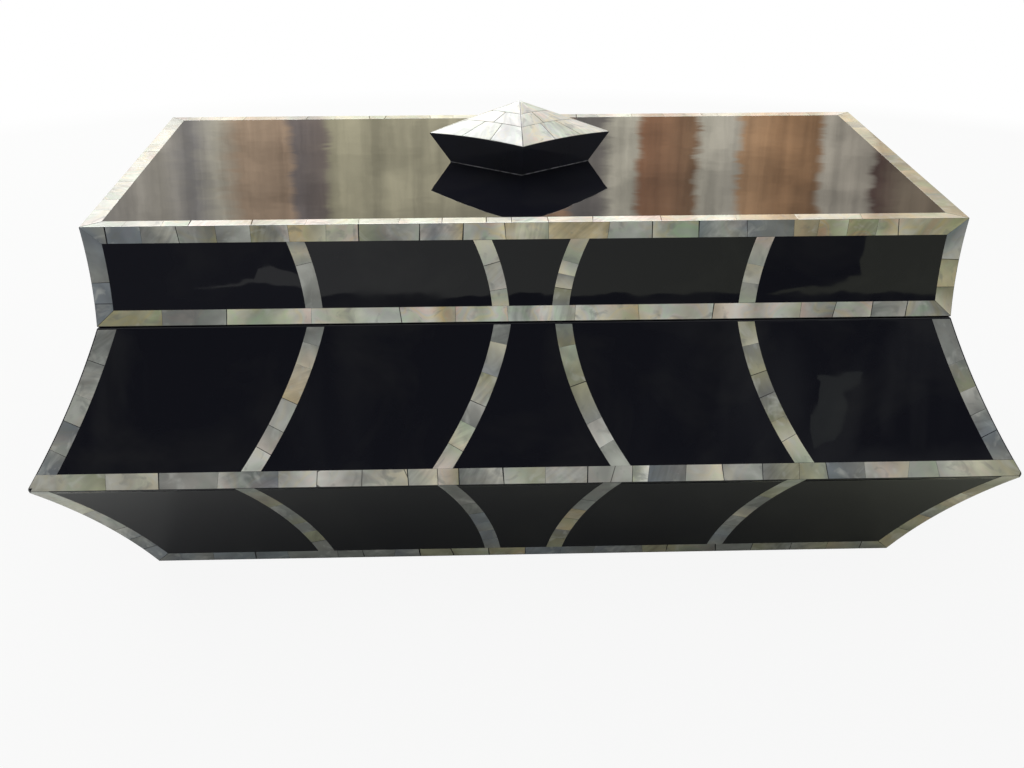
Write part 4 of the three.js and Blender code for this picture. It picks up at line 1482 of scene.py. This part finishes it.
class BOX_OT_knob(bpy.types.Operator):
    """Pyramid knob: lacquered body, four shell facets and the glue line round its foot"""

    bl_idname = "lacquer_box.knob"
    bl_label = "Knob"

    def execute(self, context):
        s = sizes()
        k = context.scene.knob_sizes
        drop = Vector((0, 0, k.body_drop))
        ring = diamond(KNOB_STEPS)
        foot = [Vector((p.x * k.foot_half_along, p.y * k.foot_half_across, s.box_height)) for p in ring]
        rim = [knob_spot(p.x, p.y, 0) - drop for p in ring]
        top = [knob_spot(p.x, p.y, KNOB_COURSE_SHARES[-1]) - drop for p in ring]
        mesh = loft("knob_body", [foot, rim, top])
        show(mesh, "knob_body", "lid", "black_lacquer", "knob_lacquer", "knob_core")
        self.lay_facets(k)
        self.run_bead(k, ring)
        return {"FINISHED"}

    def lay_facets(self, k):
        s = sizes()
        rim_length = math.hypot(k.rim_half, k.rim_half)
        rise = k.height - k.side_rim_height
        facet_length = math.hypot(k.rim_half * FACET_MIDDLE_SHARE, rise)
        for number, (name, (x_sign, y_sign)) in enumerate(KNOB_FACETS.items()):
            book = TileBook("knob", number)
            normal = Vector((x_sign, y_sign, k.rim_half / rise)).normalized()
            for course, (low, high) in enumerate(zip(KNOB_COURSE_SHARES, KNOB_COURSE_SHARES[1:])):
                cuts = (0.0, *KNOB_SEAM_SHARES[name][course], 1.0)
                for start, end, tone in zip(cuts, cuts[1:], KNOB_TONES_WITH_PAINTED_LIGHT[name][course].split()):

                    def point(u, v, depth, low=low, high=high, start=start, end=end):
                        height = lerp(low, high, v) + s.tile_seam / k.rim_half * (0.5 - v)
                        width = rim_length * (1 - height)
                        edge = min(k.seam / 2 / width, KNOB_EDGE_LIMIT)
                        half_seam = s.tile_seam / 2 / width
                        a = edge if start == 0 else start + half_seam
                        b = 1 - edge if end == 1 else end - half_seam
                        share = lerp(a, b, u)
                        return knob_spot(x_sign * share, y_sign * (1 - share), height) - normal * depth

                    size = rim_length * (end - start) * (1 - low)
                    book.tile(point, size, facet_length * (high - low), tone)
            book.finish(f"knob_tiles_{name}", "lid", f"knob_facet_{name}")

    def run_bead(self, k, ring):
        rings = []
        for i in range(BEAD_STEPS):
            angle = 2 * math.pi * i / BEAD_STEPS
            out = k.bead_radius * math.cos(angle)
            z = sizes().box_height + k.bead_radius * BEAD_HEIGHT_SHARE * math.sin(angle)
            rings.append([Vector((p.x * (k.foot_half_along + out), p.y * (k.foot_half_across + out), z))
                          for p in ring])
        mesh = loft("knob_glue_line", rings, closed=True)
        show(mesh, "knob_glue_line", "lid", "black_lacquer", "glue_line")


# Linings, felt and hinges


def soft_board(name, body, slot_name, material_name, node, thickness):
    """A board with soft edges in the space of a CAD node."""
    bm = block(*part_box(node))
    bmesh.ops.bevel(bm, geom=bm.edges, offset=thickness * SOFT_EDGE_SHARE, segments=BEVEL_STEPS,
                    profile=0.5, affect="EDGES")
    return show(smoothed(bm, name), name, body, slot_name, material_name, node)


class BOX_OT_linings(bpy.types.Operator):
    """Velvet linings of the well and the lid, and the felt under the base"""

    bl_idname = "lacquer_box.linings"
    bl_label = "Linings"

    def execute(self, context):
        s = sizes()
        for half, flat in (("base", "floor"), ("lid", "top")):
            for part in (flat, "front", "right", "back", "left"):
                soft_board(f"{half}_velvet_{part}", half, "velvet", "velvet_pile",
                           f"{half}_lining_{part}", s.lining_thickness)
        felt = soft_board("felt_sheet", "base", "felt", "wool_felt", "base_felt", s.felt_top)
        return {"FINISHED"}


class BOX_OT_metalwork(bpy.types.Operator):
    """Finishes of the hinges, their screws and the knob's screw"""

    bl_idname = "lacquer_box.metalwork"
    bl_label = "Metalwork"

    def execute(self, context):
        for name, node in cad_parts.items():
            if node.hide_render:
                continue
            is_brass = name.startswith("hinge") or name == "knob_insert"
            material = material_named("polished_brass" if is_brass else "polished_steel")
            for held in node.material_slots:
                held.link = "OBJECT"
                held.material = material
            ease = node.modifiers.new("eased", "BEVEL")
            ease.width = sizes().metal_ease
            ease.segments = METAL_EASE_STEPS
            ease.angle_limit = METAL_EASE_ANGLE
        return {"FINISHED"}


# Studio


def stage_piece(mesh, name, material_name):
    piece = linked(name, mesh)
    mesh.materials.append(material_named(material_name))
    return piece


class BOX_OT_studio(bpy.types.Operator):
    """Camera, soft light, pale floor, white backdrop and glowing cards that only gloss sees, as painted
    reflections
    """

    bl_idname = "lacquer_box.studio"
    bl_label = "Studio"

    def execute(self, context):
        scene = context.scene
        studio = scene.box_studio
        scene.view_settings.view_transform = "Standard"
        self.lay_floor(studio)
        self.stand_cards(studio)
        self.hang_light(studio)
        self.light_world(studio)
        self.place_camera(studio)
        return {"FINISHED"}

    def lay_floor(self, studio):
        bm = bmesh.new()
        bmesh.ops.create_circle(bm, cap_ends=True, radius=studio.floor_radius, segments=DISC_STEPS)
        stage_piece(as_mesh(bm, "floor"), "floor", "pale_floor")

    def stand_cards(self, studio):
        # Glowing cards that only gloss sees: painted reflections of a room.
        self.standing_card("front_card", "dark_cloth", FRONT_CARD, 0, studio.front_card_height)
        for name, outline in (("left_cloth", LEFT_DARK_REFLECTION), ("right_cloth", RIGHT_DARK_REFLECTION)):
            self.gloss_card(name, "dark_cloth", [(x, y, studio.dark_reflection_lift) for x, y in outline])
        self.gloss_card("pale_card", "pale_card", [(x, PALE_CARD_PLACE, z) for x, z in PALE_CARD])
        ends = ((-studio.back_card_left, studio.back_card), (studio.back_card_right, studio.back_card))
        self.standing_card("back_card", "warm_card", ends, studio.back_card_low, studio.back_card_high)

    def standing_card(self, name, material_name, plan, low, high):
        points = [(x, y, z) for x, y in plan for z in (low, high)]
        quads = [(2 * i, 2 * i + 2, 2 * i + 3, 2 * i + 1) for i in range(len(plan) - 1)]
        self.gloss_card(name, material_name, points, quads)

    def gloss_card(self, name, material_name, points, faces=None):
        """A glowing card that only gloss sees and that takes no light from anything: a painted reflection.
        """
        mesh = bpy.data.meshes.new(name)
        mesh.from_pydata(points, [], faces or [range(len(points))])
        card = stage_piece(mesh, name, material_name)
        card.visible_camera = False
        card.visible_diffuse = False
        card.visible_shadow = False
        card.visible_transmission = False

    def hang_light(self, studio):
        lamp = bpy.data.lights.new("soft_key", "AREA")
        lamp.shape = "RECTANGLE"
        lamp.size = studio.key_width
        lamp.size_y = studio.key_height
        lamp.energy = studio.key_power
        lamp_object = linked("soft_key", lamp)
        spot = Vector(studio.key_place)
        lamp_object.location = spot
        lamp_object.rotation_euler = (-spot).to_track_quat("-Z", "Y").to_euler()

    def light_world(self, studio):
        world = bpy.data.worlds.new("white_backdrop")
        bpy.context.scene.world = world
        world.use_nodes = True
        tree = world.node_tree
        tree.nodes.clear()
        strength = calc(tree, "MULTIPLY_ADD", seen_directly(tree), 1.0 - studio.ambient, studio.ambient)
        back = add(tree, "ShaderNodeBackground", {"Color": (1, 1, 1, 1), "Strength": strength})
        add(tree, "ShaderNodeOutputWorld", {"Surface": back.outputs[0]})

    def place_camera(self, studio):
        data = bpy.data.cameras.new("camera")
        data.sensor_width = SENSOR_WIDTH
        data.lens = studio.focal_pixels / IMAGE_WIDTH * SENSOR_WIDTH
        data.clip_start = CLIP_START
        camera = linked("camera", data)
        pitch, yaw, roll = studio.camera_pitch, studio.camera_yaw, studio.camera_roll
        right = Vector((1, 0, 0))
        ahead = Vector((0, math.cos(pitch), -math.sin(pitch)))
        up = Vector((0, math.sin(pitch), math.cos(pitch)))
        turn = Matrix.Rotation(yaw, 3, "Z")
        leaned_right = turn @ (right * math.cos(roll) + up * math.sin(roll))
        leaned_up = turn @ (up * math.cos(roll) - right * math.sin(roll))
        axes = Matrix((leaned_right, leaned_up, -(turn @ ahead))).transposed()
        camera.matrix_world = Matrix.Translation(studio.camera_place) @ axes.to_4x4()
        bpy.context.scene.camera = camera


class BOX_PT_panel(bpy.types.Panel):
    """Lists the steps that finish the box"""

    bl_label = "Lacquered box"
    bl_idname = "BOX_PT_panel"
    bl_space_type = "VIEW_3D"
    bl_region_type = "UI"
    bl_category = "Lacquered box"

    def draw(self, context):
        for operator in STEPS:
            self.layout.operator(operator.bl_idname)


STEPS = (
    BOX_OT_base_carcase, BOX_OT_lid_carcase, BOX_OT_base_shell, BOX_OT_lid_shell, BOX_OT_knob,
    BOX_OT_linings, BOX_OT_metalwork, BOX_OT_studio)
SETTINGS = {"box_sizes": BoxSizes, "knob_sizes": KnobSizes, "box_colours": BoxColours, "box_studio": Studio}


def register():
    for kind in (*SETTINGS.values(), *STEPS, BOX_PT_panel):
        bpy.utils.register_class(kind)
    for name, kind in SETTINGS.items():
        setattr(bpy.types.Scene, name, bpy.props.PointerProperty(type=kind))


def unregister():
    for name in SETTINGS:
        delattr(bpy.types.Scene, name)
    for kind in reversed((*SETTINGS.values(), *STEPS, BOX_PT_panel)):
        bpy.utils.unregister_class(kind)


def main():
    register()
    for step in STEPS:
        group, name = step.bl_idname.split(".")
        getattr(getattr(bpy.ops, group), name)()
    bpy.context.view_layer.update()


if __name__ == "__main__":
    main()
